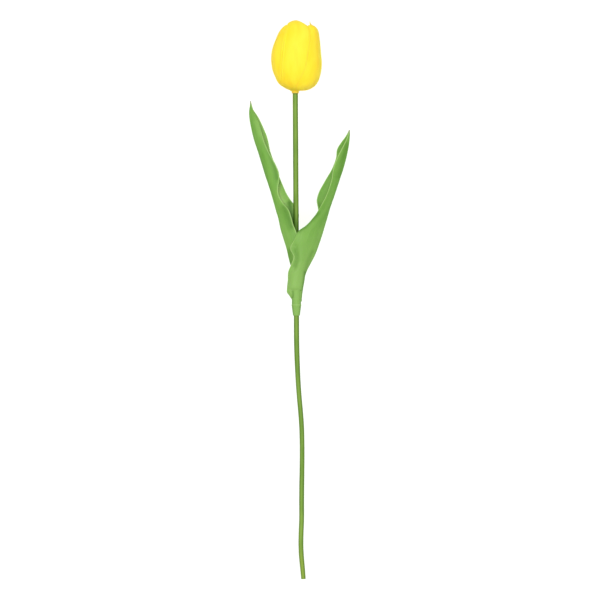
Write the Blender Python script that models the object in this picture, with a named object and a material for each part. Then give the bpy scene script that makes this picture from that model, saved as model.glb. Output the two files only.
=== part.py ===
"""An artificial tulip: one long stem, a sleeve of two channelled leaves and a closed yellow bloom.

The flower lies on a flat surface. It rests on the cut end of its stem, on the low edges of both
leaves and on a small flat spot under the bloom.

Frame: +Y runs up the flower from the cut end to the petals, +Z is up, and +X is to the right of
somebody who looks down on it with the bloom away from them. The origin is on the surface, in the
middle of the flower's length and width. Blender's unit is the metre; the sizes below are in
millimetres times MM.
"""

import math

import bmesh
import bpy
import numpy as np
from mathutils import Matrix, Vector

MM = 0.001
WELD_DISTANCE = 0.01 * MM
SHARP_ANGLE = math.radians(35)

# Driving dimensions of the stem
STEM_FOOT_Y = -238.6 * MM
STEM_RADIUS_TOP = 2.3 * MM
STEM_BORE_RADIUS = 1.1 * MM
STEM_SIDES = 12
STEM_SPACING = 11.0 * MM
BORE_OVERRUN = 5.0 * MM
BORE_MARGIN = 1.0 * MM
WIRE_RADIUS = 0.8 * MM
WIRE_SIDES = 8

# The stem rises evenly from the surface at its foot to the middle of the bloom
STEM_FOOT_HEIGHT = 1.95 * MM
BLOOM_RADIUS = 21.3 * MM
FLAT_SPOT_DEPTH = 0.3 * MM
BLOOM_WIDEST_Y = 204.0 * MM
STEM_SLOPE = (BLOOM_RADIUS - FLAT_SPOT_DEPTH - STEM_FOOT_HEIGHT) / (BLOOM_WIDEST_Y - STEM_FOOT_Y)

# Sideways course of the stem, from foot to top: (y, x)
STEM_COURSE = [
    (-238.6, 3.3), (-229.9, 2.55), (-219.7, 1.6), (-209.5, 1.15), (-199.3, 1.3), (-189.1, 1.7),
    (-170.0, 1.75), (-158.0, 1.85), (-145.0, 2.05), (-120.0, 2.05), (-107.5, 1.65), (-95.0, 0.75),
    (-82.0, -0.4), (-68.0, -1.35), (-54.0, -2.0), (-38.0, -2.5), (-20.0, -2.65), (0.0, -2.7),
    (20.0, -2.75), (50.0, -2.9), (90.0, -3.15), (135.0, -3.4), (165.0, -3.6), (187.0, -3.7),
]

# Radius of the stem, from foot to top: (y, radius)
STEM_GIRTH = [
    (-238.6, 1.95), (-228.0, 2.06), (-215.0, 2.1), (-165.0, 2.14), (-145.0, 2.1), (-110.0, 2.08),
    (-85.0, 2.1), (-50.0, 2.22), (-30.0, 2.28), (-10.0, 2.3), (50.0, 2.3), (120.0, 2.3), (187.0, 2.3),
]

# Sleeve: the outer leaf's collar and tube, and the inner leaf's foot ring
FIT_GAP = 0.3 * MM
SLEEVE_BORE_RADIUS = STEM_RADIUS_TOP + FIT_GAP
COLLAR_END_Y = -13.6 * MM
COLLAR_RIM_Y = -4.3 * MM
TUBE_TOP_Y = 9.5 * MM
COLLAR_END_RADIUS = 3.0 * MM
COLLAR_RIM_RADIUS = 4.15 * MM
COLLAR_LAND = 1.0 * MM
COLLAR_STEP = 0.3 * MM
TUBE_RADIUS = 3.9 * MM
FOOT_RING_BOTTOM_Y = 19.0 * MM
FOOT_RING_TOP_Y = 27.0 * MM
FOOT_RING_RADIUS = 3.45 * MM
TURNED_SIDES = 20

# Leaves: blades of one thickness, each carried by five rails from its foot to its tip.
# A rail's points are (y, x, z). The near rails are on the upper half of the channel, the far
# rails on the half that lies nearer the surface, and the back rail is the fold between them.
LEAF_THICKNESS = 0.9 * MM
LEAF_COLUMNS = 12
LEAF_ROW_SPACING = 4.0 * MM

# How full the wrap round the stem is: (height above the leaf's foot, fullness)
WRAP_FULLNESS = [(0.0, 1.45), (12.0, 1.35), (30.0, 1.15), (60.0, 1.05)]

OUTER_LEAF_RAILS = {
    "near_edge": [
        (-1.8, -5.4, 12.7), (-0.4, -6.1, 12.6), (0.8, -6.7, 12.5), (2.5, -7.7, 12.4), (4.2, -9.2, 12.3),
        (5.2, -10.1, 12.3), (6.0, -10.6, 12.3), (9.0, -10.6, 12.4), (16.6, -9.9, 13.6), (23.4, -9.6, 15.2),
        (29.5, -7.3, 17.0), (36.1, -5.2, 18.2), (43.4, -8.0, 17.9), (51.0, -4.3, 19.3), (55.5, -2.6, 19.3),
        (58.6, -0.4, 19.1), (61.9, 4.4, 18.5), (65.3, 8.1, 17.9), (68.7, 10.9, 17.3), (72.1, 13.7, 16.6),
        (76.1, 16.1, 15.8), (85.4, 21.2, 14.0), (91.7, 24.0, 13.0), (96.0, 25.5, 12.5), (103.0, 27.4, 12.0),
        (110.9, 28.5, 11.6), (121.1, 32.1, 11.0), (130.5, 36.9, 10.0), (139.0, 40.9, 8.9), (144.4, 42.2, 8.2),
    ],
    "near_shoulder": [
        (-1.8, -2.7, 15.1), (-0.4, -2.7, 15.2), (3.0, -3.0, 15.4), (7.2, -3.4, 15.6), (8.2, -3.5, 15.8),
        (9.2, -3.6, 16.8), (10.4, -3.6, 17.3), (13.0, -3.4, 17.6), (16.6, -3.0, 17.8), (25.0, -0.5, 18.1),
        (36.1, 3.0, 18.3), (43.4, 4.5, 18.3), (51.0, 8.0, 18.2), (58.1, 12.2, 16.6), (66.0, 16.4, 14.8),
        (80.3, 22.6, 11.9), (95.6, 28.4, 9.9), (112.0, 33.4, 9.0), (127.0, 38.2, 8.6), (139.0, 41.4, 8.1),
        (144.4, 42.3, 8.1),
    ],
    "back": [
        (-1.8, 1.4, 12.1), (-0.4, 1.45, 12.1), (3.0, 1.7, 12.2), (9.0, 2.5, 12.4), (16.6, 3.8, 12.2),
        (20.0, 4.3, 11.9), (25.1, 6.1, 11.3), (31.5, 9.5, 10.6), (37.0, 12.4, 9.9), (43.8, 15.1, 9.4),
        (52.3, 18.0, 8.8), (62.5, 21.1, 8.0), (69.0, 23.1, 7.4), (75.2, 24.8, 7.0), (89.7, 29.7, 6.2),
        (103.3, 34.2, 5.8), (110.5, 36.6, 5.9), (118.6, 38.9, 6.1), (133.9, 41.9, 7.0), (139.0, 42.4, 7.5),
        (144.4, 42.4, 8.0),
    ],
    "far_shoulder": [
        (-1.8, -2.7, 9.0), (3.0, -3.0, 8.7), (9.0, -3.6, 8.5), (16.6, -3.0, 8.3), (25.0, -1.0, 8.2),
        (36.1, 1.5, 7.4), (43.4, 3.5, 6.6), (51.0, 6.5, 5.6), (58.1, 11.0, 4.6), (66.0, 17.0, 3.6),
        (80.3, 22.0, 2.4), (95.6, 27.6, 1.6), (112.0, 34.0, 2.2), (127.0, 38.2, 4.1), (139.0, 41.4, 6.7),
        (144.4, 42.2, 7.9),
    ],
    "far_edge": [
        (-1.8, -5.4, 11.8), (3.0, -6.8, 11.1), (9.0, -8.6, 10.7), (16.6, -8.6, 10.5), (25.0, -7.7, 10.0),
        (43.4, -7.7, 8.6), (51.0, -6.0, 7.8), (58.1, 1.0, 6.2), (66.0, 11.5, 3.6), (75.2, 15.9, 2.3),
        (79.4, 15.4, 1.8), (84.0, 14.6, 1.3), (90.5, 16.0, 0.95), (100.7, 21.3, 0.75), (112.6, 28.1, 1.35),
        (121.1, 31.1, 2.5), (128.8, 32.2, 3.9), (133.9, 35.4, 5.1), (139.0, 39.2, 6.6), (144.4, 42.0, 7.9),
    ],
}

INNER_LEAF_RAILS = {
    "near_edge": [
        (25.0, -0.5, 15.4), (31.0, 0.2, 16.4), (37.8, 1.0, 17.0), (50.6, -0.5, 17.6), (58.0, -3.0, 17.8),
        (63.3, -5.2, 17.6), (70.0, -7.0, 17.0), (76.0, -9.2, 16.0), (82.0, -14.0, 14.6), (88.8, -17.6, 13.4),
        (96.0, -18.0, 12.6), (101.6, -17.2, 12.3), (108.0, -17.7, 12.3), (114.3, -20.2, 12.5),
        (120.5, -23.6, 12.7), (127.0, -27.0, 12.9), (139.0, -31.5, 13.0), (149.2, -34.2, 12.4),
        (159.4, -39.0, 11.0), (164.5, -41.0, 10.0), (169.0, -41.5, 9.2),
    ],
    "near_shoulder": [
        (25.0, -3.2, 16.3), (31.0, -4.4, 16.6), (37.8, -5.8, 16.6), (50.6, -8.6, 16.4), (63.3, -12.6, 15.6),
        (76.0, -16.2, 13.8), (88.8, -20.4, 12.0), (101.6, -24.4, 11.4), (114.3, -28.4, 11.4),
        (127.0, -32.8, 11.6), (139.0, -36.6, 11.6), (149.2, -38.6, 11.3), (159.4, -40.9, 10.2),
        (169.0, -41.7, 9.1),
    ],
    "back": [
        (25.0, -5.8, 13.3), (31.0, -7.8, 13.1), (36.5, -9.2, 12.9), (42.1, -10.4, 12.7), (51.4, -13.2, 12.1),
        (59.9, -15.8, 11.3), (70.1, -18.0, 10.4), (76.0, -19.8, 9.7), (82.0, -21.5, 9.1), (93.1, -24.7, 8.0),
        (105.8, -28.9, 7.3), (116.0, -32.0, 7.2), (127.1, -35.5, 7.4), (136.4, -38.5, 7.8),
        (145.8, -40.8, 8.2), (152.6, -42.1, 8.6), (161.1, -42.5, 9.0), (165.0, -41.9, 9.0),
        (169.0, -41.7, 9.0),
    ],
    "far_shoulder": [
        (25.0, -3.2, 10.3), (31.0, -4.0, 10.0), (37.8, -5.6, 10.1), (50.6, -8.2, 9.4), (63.3, -11.0, 9.6),
        (76.0, -13.6, 9.4), (88.8, -19.0, 7.4), (101.6, -24.0, 4.0), (114.3, -28.2, 2.0), (127.0, -31.8, 2.6),
        (139.0, -35.2, 3.9), (149.2, -38.2, 5.9), (159.4, -40.6, 7.8), (169.0, -41.7, 8.9),
    ],
    "far_edge": [
        (25.0, -0.5, 11.2), (31.0, 0.4, 10.7), (37.8, 1.2, 10.7), (50.6, 0.3, 10.4), (58.0, -0.9, 9.8),
        (66.0, -1.2, 10.0), (72.0, -0.6, 10.2), (78.0, -2.2, 9.8), (84.0, -7.1, 8.4), (90.0, -11.0, 6.0),
        (95.8, -13.6, 3.2), (101.6, -16.0, 1.1), (107.0, -18.1, 0.7), (114.3, -20.6, 0.7), (127.0, -25.1, 1.2),
        (135.6, -26.9, 2.3), (139.0, -27.8, 2.8), (144.0, -29.8, 3.9), (149.2, -32.1, 5.0), (155.5, -35.3, 6.4),
        (158.5, -37.2, 7.0), (161.1, -39.1, 7.6), (165.5, -40.6, 8.3), (169.0, -41.5, 8.8),
    ],
}

# Bloom: petals stand on a core round the bloom's own axis, a little beside the neck's
BLOOM_BASE_Y = 176.1 * MM
BLOOM_AXIS_X = -2.6 * MM
PETAL_THICKNESS = 1.1 * MM
PETAL_COLUMNS = 10
PETAL_ROWS = 14
NECK_LENGTH = 1.6 * MM
SOCKET_DEPTH = 9.0 * MM
# The neck and the core inside the bloom: (radius, height above the base)
CORE_PROFILE = [
    (3.05, -1.6), (3.0, 0.0), (4.0, 0.4), (5.4, 1.6), (5.4, 3.8), (3.9, 6.5), (3.7, 10.6),
]
# The block that takes away what would reach below the surface under the bloom
SURFACE_CUTTER_SIZE = (60.0 * MM, 80.0 * MM, 20.0 * MM)

# Petal profiles from the foot to the tip: (radius from the axis, height above the base)
FRONT_PROFILE = [
    (4.4, 1.3), (7.5, 2.2), (11.5, 4.4), (14.6, 7.6), (17.0, 12.0), (18.9, 18.0), (19.8, 24.5), (19.9, 31.0),
    (19.5, 37.5), (18.4, 43.5), (16.6, 48.7), (14.0, 53.0), (11.8, 55.6), (9.0, 58.0), (7.0, 59.1),
    (5.6, 59.5),
]
RIGHT_PROFILE = [
    (4.4, 0.9), (6.7, 1.1), (8.4, 1.4), (9.9, 1.8), (11.5, 2.5), (13.1, 3.3), (14.7, 4.4), (16.4, 6.1),
    (17.8, 8.3), (19.2, 11.8), (20.2, 15.8), (20.8, 19.6), (21.0, 23.2), (20.8, 27.0), (20.3, 32.5),
    (19.8, 38.5), (19.4, 43.2), (18.9, 47.0), (18.5, 49.6), (17.9, 51.6), (16.9, 53.4), (15.4, 54.7),
    (14.0, 55.5), (13.1, 56.5), (12.8, 57.7), (12.7, 58.9),
]
LEFT_PROFILE = [
    (4.4, 1.3), (6.6, 1.8), (8.2, 2.4), (9.9, 3.3), (11.6, 4.4), (13.2, 5.4), (15.0, 7.1), (16.4, 9.2),
    (17.4, 11.6), (18.7, 14.6), (19.9, 18.0), (20.6, 22.0), (21.0, 26.4), (20.9, 30.4), (20.4, 34.4),
    (19.4, 38.2), (17.5, 43.2), (14.9, 49.2), (12.4, 52.9), (9.4, 55.8),
]
LOWER_PROFILE = [
    (4.4, 1.1), (6.2, 1.5), (10.0, 2.9), (13.4, 5.0), (16.4, 8.5), (19.0, 14.0), (20.6, 22.0), (20.7, 29.0),
    (20.1, 37.0), (18.2, 44.0), (15.0, 50.0), (11.6, 54.6), (8.8, 57.0),
]
INNER_PROFILE = [
    (4.4, 2.4), (6.8, 3.1), (10.4, 4.9), (13.6, 7.6), (16.2, 11.8), (18.1, 17.6), (19.2, 24.0), (19.4, 30.0),
    (18.4, 37.0), (15.9, 43.5), (12.8, 49.6), (9.8, 53.6), (7.6, 55.6), (6.0, 56.8),
]

# Side margins of the petals: the spread in degrees from the petal's middle and the lift out from
# its profile, both as (height above the base, value), then how far the margin falls short of the
# tip as a share of the petal's length, and the power of that fall across the petal
FREE_SPREAD = [(1.1, 56.0), (4.0, 49.0), (9.0, 41.0), (15.0, 36.0), (25.0, 35.0), (50.0, 36.0), (58.0, 34.0)]
FREE_LIFT = [(1.1, -0.3), (10.0, -0.1), (58.0, -0.1)]
FRONT_LEFT_MARGIN = (
    [
        (1.3, 62.0), (4.8, 61.0), (8.2, 56.0), (12.0, 52.0), (16.3, 48.0), (24.8, 42.5), (33.3, 39.0),
        (41.6, 38.0), (46.7, 35.5), (51.3, 34.0), (55.0, 38.0), (59.5, 46.0),
    ],
    [(1.3, 0.3), (20.0, 0.4), (45.0, 0.4), (59.5, 0.0)],
    0.08,
    2.2,
)
FRONT_RIGHT_MARGIN = (
    [
        (1.3, 30.0), (8.0, 32.0), (16.0, 34.0), (25.0, 37.0), (33.0, 41.0), (41.6, 46.0), (50.0, 53.0),
        (59.5, 60.0),
    ],
    [(1.3, 0.0), (10.0, -0.3), (45.0, -0.3), (59.5, 0.0)],
    0.165,
    1.6,
)
RIGHT_LEFT_MARGIN = (
    [
        (1.2, 62.0), (2.5, 63.5), (8.0, 55.3), (13.7, 47.0), (19.6, 40.4), (24.6, 37.6), (33.0, 33.6),
        (41.5, 28.2), (47.6, 23.7), (53.0, 18.0), (55.5, 13.6), (58.2, 8.0),
    ],
    [
        (1.2, -0.9), (3.0, -1.3), (7.6, -1.7), (12.0, -1.5), (18.0, -1.1), (24.5, -0.5), (31.0, -0.2),
        (40.0, -0.2), (43.5, -0.4), (49.0, -1.3), (52.8, -2.2), (56.0, -1.6), (58.9, -1.2),
    ],
    0.02,
    1.0,
)
RIGHT_FREE_MARGIN = (FREE_SPREAD, FREE_LIFT, 0.12, 1.0)
LEFT_FREE_MARGIN = (FREE_SPREAD, FREE_LIFT, 0.12, 1.6)
LEFT_COVERED_MARGIN = (
    FREE_SPREAD,
    [(1.5, -0.8), (10.0, -2.0), (18.0, -2.1), (36.0, -2.1), (45.0, -1.7), (56.2, -0.8)],
    0.12,
    1.6,
)
LOWER_MARGIN = (FREE_SPREAD, [(1.1, -0.4), (10.0, -0.6), (50.0, -0.6), (57.0, -0.3)], 0.12, 1.8)
INNER_MARGIN = (
    [(2.4, 40.0), (8.0, 42.0), (18.0, 45.0), (40.0, 46.0), (50.0, 49.0), (56.8, 52.0)],
    [(2.4, 0.0), (10.0, -0.4), (50.0, -0.4), (56.8, 0.0)],
    0.12,
    2.0,
)
# The share of a petal's half width beyond which the lift begins
LIFT_START = 0.25
COVERED_LIFT_START = -0.2
# The small point in the middle of the right petal's tip: a share of its length and of its half width
POINT_LENGTH = 0.055
POINT_WIDTH = 0.15
# Each petal: name, direction from the upward one in degrees, profile, left and right margin
PETALS = [
    ("front", -1.0, FRONT_PROFILE, FRONT_LEFT_MARGIN, FRONT_RIGHT_MARGIN),
    ("right", 61.0, RIGHT_PROFILE, RIGHT_LEFT_MARGIN, RIGHT_FREE_MARGIN),
    ("left", -62.0, LEFT_PROFILE, LEFT_FREE_MARGIN, LEFT_COVERED_MARGIN),
    ("lower", 180.0, LOWER_PROFILE, LOWER_MARGIN, LOWER_MARGIN),
    ("right_inner", 120.0, INNER_PROFILE, INNER_MARGIN, INNER_MARGIN),
    ("left_inner", -121.0, INNER_PROFILE, INNER_MARGIN, INNER_MARGIN),
]

# Surface finishes: base colour (linear RGB), roughness, metallic value
FINISHES = {
    "petal_yellow": ((0.96, 0.80, 0.05), 0.55, 0.0),
    "leaf_green": ((0.19, 0.42, 0.09), 0.50, 0.0),
    "stem_green": ((0.22, 0.36, 0.07), 0.45, 0.0),
    "wire_steel": ((0.55, 0.56, 0.57), 0.35, 1.0),
}


def clear_scene():
    """Remove every object that is in the scene already."""
    for old in list(bpy.data.objects):
        bpy.data.objects.remove(old, do_unlink=True)


def finish(name):
    """Return the named finish as a Principled BSDF material."""
    if name in bpy.data.materials:
        return bpy.data.materials[name]
    colour, roughness, metallic = FINISHES[name]
    material = bpy.data.materials.new(name)
    material.use_nodes = True
    shader = material.node_tree.nodes["Principled BSDF"]
    shader.inputs["Base Color"].default_value = (*colour, 1.0)
    shader.inputs["Roughness"].default_value = roughness
    shader.inputs["Metallic"].default_value = metallic
    return material


def smooth(knots, values, at, fullness=1.0):
    """Read a smooth curve through values, given at the knots, at the places asked for.

    A fullness above 1 makes the curve bulge more between the knots.
    """
    knots = np.asarray(knots, float)
    values = np.asarray(values, float)
    slopes = np.gradient(values, knots, edge_order=2) * fullness
    at = np.clip(np.asarray(at, float), knots[0], knots[-1])
    left = np.clip(np.searchsorted(knots, at, side="right") - 1, 0, len(knots) - 2)
    step = knots[left + 1] - knots[left]
    t = (at - knots[left]) / step
    return (
        values[left] * (1 + 2 * t) * (1 - t) ** 2
        + slopes[left] * step * t * (1 - t) ** 2
        + values[left + 1] * t**2 * (3 - 2 * t)
        + slopes[left + 1] * step * t**2 * (t - 1)
    )


def stem_point(y):
    """Return the point of the stem's middle line at the given y."""
    course = np.array(STEM_COURSE) * MM
    x = float(smooth(course[:, 0], course[:, 1], y))
    return Vector((x, y, STEM_FOOT_HEIGHT + STEM_SLOPE * (y - STEM_FOOT_Y)))


def new_object(name, mesh, finish_name, shaded_smooth=True):
    """Link a mesh into the scene as a named object with one finish."""
    thing = bpy.data.objects.new(name, mesh)
    bpy.context.scene.collection.objects.link(thing)
    mesh.materials.clear()
    mesh.materials.append(finish(finish_name))
    if shaded_smooth:
        mesh.shade_smooth()
        mesh.set_sharp_from_angle(angle=SHARP_ANGLE)
    return thing


def round_bar(name, points, radii, sides, finish_name):
    """Make a closed round bar along the points, as a curve with a bevel and filled caps."""
    curve = bpy.data.curves.new(name, "CURVE")
    curve.dimensions = "3D"
    curve.bevel_depth = 1.0
    curve.bevel_resolution = (sides - 4) // 2
    curve.use_fill_caps = True
    curve.render_resolution_u = 0
    spline = curve.splines.new("POLY")
    spline.points.add(len(points) - 1)
    for place, point, radius in zip(spline.points, points, radii):
        place.co = (*point, 1.0)
        place.radius = radius
    guide = bpy.data.objects.new(name + "_guide", curve)
    bpy.context.scene.collection.objects.link(guide)
    ready = guide.evaluated_get(bpy.context.evaluated_depsgraph_get())
    mesh = bpy.data.meshes.new_from_object(ready)
    mesh.name = name
    bpy.data.objects.remove(guide, do_unlink=True)
    return new_object(name, mesh, finish_name)


def stem_stations(start, end, spacing):
    """Return evenly spaced y values from start to end, at about the given spacing."""
    count = max(2, round((end - start) / spacing) + 1)
    return np.linspace(start, end, count)


def turned(name, profile, start, end, finish_name):
    """Spin a profile of (radius, distance from start) round the line from start towards end."""
    bm = bmesh.new()
    verts = [bm.verts.new((radius, 0.0, along)) for radius, along in profile]
    edges = [bm.edges.new(pair) for pair in zip(verts, verts[1:])]
    if profile[0][0] > 0:
        edges.append(bm.edges.new((verts[-1], verts[0])))
    bmesh.ops.spin(
        bm,
        geom=verts + edges,
        cent=(0, 0, 0),
        axis=(0, 0, 1),
        angle=math.tau,
        steps=TURNED_SIDES,
        use_merge=True,
    )
    bmesh.ops.remove_doubles(bm, verts=bm.verts, dist=WELD_DISTANCE)
    bmesh.ops.recalc_face_normals(bm, faces=bm.faces)
    turn = (end - start).to_track_quat("Z", "Y").to_matrix().to_4x4()
    bmesh.ops.transform(bm, matrix=Matrix.Translation(start) @ turn, verts=bm.verts)
    mesh = bpy.data.meshes.new(name)
    bm.to_mesh(mesh)
    bm.free()
    return new_object(name, mesh, finish_name)


def blade(name, surface, thickness, finish_name):
    """Thicken a grid of points into one closed blade, split alike on both faces."""
    rows, columns = surface.shape[:2]
    along = np.gradient(surface, axis=0)
    across = np.gradient(surface, axis=1)
    normals = np.cross(across, along)
    normals /= np.linalg.norm(normals, axis=2, keepdims=True)
    bm = bmesh.new()
    sheets = []
    for side in (0.5, -0.5):
        points = surface + side * thickness * normals
        sheets.append([[bm.verts.new(point) for point in row] for row in points])
    upper, lower = sheets
    for i in range(rows - 1):
        for j in range(columns - 1):
            for sheet in sheets:
                a, b = sheet[i][j], sheet[i][j + 1]
                c, d = sheet[i + 1][j + 1], sheet[i + 1][j]
                bm.faces.new((a, b, c))
                bm.faces.new((a, c, d))
    rim = [(0, j) for j in range(columns)]
    rim += [(i, columns - 1) for i in range(1, rows)]
    rim += [(rows - 1, j) for j in range(columns - 2, -1, -1)]
    rim += [(i, 0) for i in range(rows - 2, 0, -1)]
    for (i, j), (k, m) in zip(rim, rim[1:] + rim[:1]):
        bm.faces.new((upper[i][j], upper[k][m], lower[k][m]))
        bm.faces.new((upper[i][j], lower[k][m], lower[i][j]))
    bmesh.ops.recalc_face_normals(bm, faces=bm.faces)
    mesh = bpy.data.meshes.new(name)
    bm.to_mesh(mesh)
    bm.free()
    return new_object(name, mesh, finish_name)


def settle(thing):
    """Turn an object's modifiers into its own mesh."""
    ready = thing.evaluated_get(bpy.context.evaluated_depsgraph_get())
    mesh = bpy.data.meshes.new_from_object(ready)
    mesh.name = thing.name
    thing.modifiers.clear()
    thing.data = mesh


def cut_away(thing, cutter):
    """Cut the cutter's shape out of an object and remove the cutter."""
    cutter.hide_render = True
    cutter.display_type = "WIRE"
    cut = thing.modifiers.new("cut", "BOOLEAN")
    cut.operation = "DIFFERENCE"
    cut.solver = "EXACT"
    cut.object = cutter
    settle(thing)
    bpy.data.objects.remove(cutter, do_unlink=True)


def fuse(thing, others):
    """Join other objects into one by one Boolean union and remove them."""
    group = bpy.data.collections.new(thing.name + "_pieces")
    bpy.context.scene.collection.children.link(group)
    for other in others:
        group.objects.link(other)
    join = thing.modifiers.new("join", "BOOLEAN")
    join.operation = "UNION"
    join.solver = "EXACT"
    join.operand_type = "COLLECTION"
    join.collection = group
    settle(thing)
    for other in others:
        bpy.data.objects.remove(other, do_unlink=True)
    bpy.data.collections.remove(group)


def make_stem():
    """Make the stem, hollow from end to end, and the wire inside it."""
    top = BLOOM_BASE_Y + SOCKET_DEPTH - FIT_GAP
    stations = stem_stations(STEM_FOOT_Y, top, STEM_SPACING)
    points = [stem_point(y) for y in stations]
    girth = np.array(STEM_GIRTH) * MM
    radii = smooth(girth[:, 0], girth[:, 1], stations)
    stem = round_bar("stem", points, radii, STEM_SIDES, "stem_green")
    start = points[0] + (points[0] - points[1]).normalized() * BORE_OVERRUN
    end = points[-1] + (points[-1] - points[-2]).normalized() * BORE_OVERRUN
    bore_points = [start] + points + [end]
    bore = round_bar("bore", bore_points, [STEM_BORE_RADIUS] * len(bore_points), STEM_SIDES, "stem_green")
    cut_away(stem, bore)
    round_bar("stem_wire", points, [WIRE_RADIUS] * len(points), WIRE_SIDES, "wire_steel")


def leaf_surface(rails):
    """Return the grid of points of a leaf's middle surface, from its foot to its tip."""
    foot, tip = rails["back"][0][0], rails["back"][-1][0]
    rows = round((tip - foot) * MM / LEAF_ROW_SPACING) + 1
    stations = np.linspace(foot, tip, rows)
    crossings = []
    for name in ("near_edge", "near_shoulder", "back", "far_shoulder", "far_edge"):
        rail = np.array(rails[name])
        crossings.append(np.stack([smooth(rail[:, 0], rail[:, k], stations) for k in (1, 2)], axis=1))
    crossings = np.stack(crossings, axis=1)
    heights, values = zip(*WRAP_FULLNESS)
    fullness = smooth(heights, values, stations - foot)
    surface = np.empty((rows, LEAF_COLUMNS + 1, 3))
    for i, section in enumerate(crossings):
        lengths = np.linalg.norm(np.diff(section, axis=0), axis=1)
        knots = np.concatenate([[0], np.cumsum(np.sqrt(lengths))])
        knots /= knots[-1]
        at = np.linspace(0, 1, LEAF_COLUMNS + 1)
        surface[i, :, 0] = smooth(knots, section[:, 0], at, fullness[i])
        surface[i, :, 1] = stations[i]
        surface[i, :, 2] = smooth(knots, section[:, 1], at, fullness[i])
    return surface * MM


def cut_bore(leaf, start_y, end_y):
    """Cut the stem's bore through a leaf between two places, and a little beyond them."""
    start = stem_point(start_y - BORE_OVERRUN)
    end = stem_point(end_y + BORE_MARGIN)
    length = (end - start).length
    profile = [(0, 0), (SLEEVE_BORE_RADIUS, 0), (SLEEVE_BORE_RADIUS, length), (0, length)]
    cut_away(leaf, turned("bore", profile, start, end, "leaf_green"))


def make_outer_leaf():
    """Make the right-hand leaf in one body with the sleeve's tube and collar."""
    leaf = blade("leaf_outer", leaf_surface(OUTER_LEAF_RAILS), LEAF_THICKNESS, "leaf_green")
    start = stem_point(COLLAR_END_Y)
    end = stem_point(TUBE_TOP_Y)
    length = (end - start).length
    rim = length * (COLLAR_RIM_Y - COLLAR_END_Y) / (TUBE_TOP_Y - COLLAR_END_Y)
    profile = [
        (0, 0),
        (COLLAR_END_RADIUS, 0),
        (COLLAR_END_RADIUS, COLLAR_LAND),
        (COLLAR_RIM_RADIUS, rim - COLLAR_LAND),
        (COLLAR_RIM_RADIUS, rim),
        (TUBE_RADIUS, rim + COLLAR_STEP),
        (TUBE_RADIUS, length),
        (0, length),
    ]
    fuse(leaf, [turned("tube", profile, start, end, "leaf_green")])
    cut_bore(leaf, COLLAR_END_Y, TUBE_TOP_Y)


def make_inner_leaf():
    """Make the left-hand leaf in one body with the ring at its foot."""
    leaf = blade("leaf_inner", leaf_surface(INNER_LEAF_RAILS), LEAF_THICKNESS, "leaf_green")
    start = stem_point(FOOT_RING_BOTTOM_Y)
    end = stem_point(FOOT_RING_TOP_Y)
    length = (end - start).length
    profile = [(0, 0), (FOOT_RING_RADIUS, 0), (FOOT_RING_RADIUS, length), (0, length)]
    fuse(leaf, [turned("ring", profile, start, end, "leaf_green")])
    cut_bore(leaf, FOOT_RING_BOTTOM_Y, FOOT_RING_TOP_Y)


def bloom_frame():
    """Return the matrix whose Z is the bloom's axis and whose Y points up from the surface."""
    base = Vector((BLOOM_AXIS_X, BLOOM_BASE_Y, stem_point(BLOOM_BASE_Y).z))
    axis = Vector((0, 1, STEM_SLOPE)).normalized()
    side = Vector((1, 0, 0))
    upward = side.cross(axis)
    columns = Matrix((side, upward, axis)).transposed()
    return Matrix.Translation(base) @ columns.to_4x4()


def petal_surface(direction, profile, left, right, point, lift_start):
    """Return the grid of points of one petal in the bloom's own frame."""
    profile = np.array(profile) * MM
    lengths = np.linalg.norm(np.diff(profile, axis=0), axis=1)
    knots = np.concatenate([[0], np.cumsum(lengths)])
    knots /= knots[-1]
    across = np.linspace(-1, 1, PETAL_COLUMNS + 1)
    sides = [(left, -1, np.clip(-across, 0, 1)), (right, 1, np.clip(across, 0, 1))]
    reach = 1 - point * (1 - np.exp(-np.abs(across) / POINT_WIDTH))
    for (_, _, crown, power), _, part in sides:
        reach -= crown * part**power
    place = np.linspace(0, 1, PETAL_ROWS + 1)[:, None] * reach[None, :]
    radius = smooth(knots, profile[:, 0], place)
    height = smooth(knots, profile[:, 1], place)
    angle = np.full(place.shape, math.radians(direction))
    for (spread, lift, _, _), sign, part in sides:
        spread = np.array(spread)
        lift = np.array(lift)
        angle += sign * part * np.radians(smooth(spread[:, 0] * MM, spread[:, 1], height))
        share = np.clip((part - lift_start) / (1 - lift_start), 0, 1)
        radius += smooth(lift[:, 0] * MM, lift[:, 1] * MM, height) * share**2 * (3 - 2 * share)
    return np.stack([radius * np.sin(angle), radius * np.cos(angle), height], axis=-1)


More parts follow.
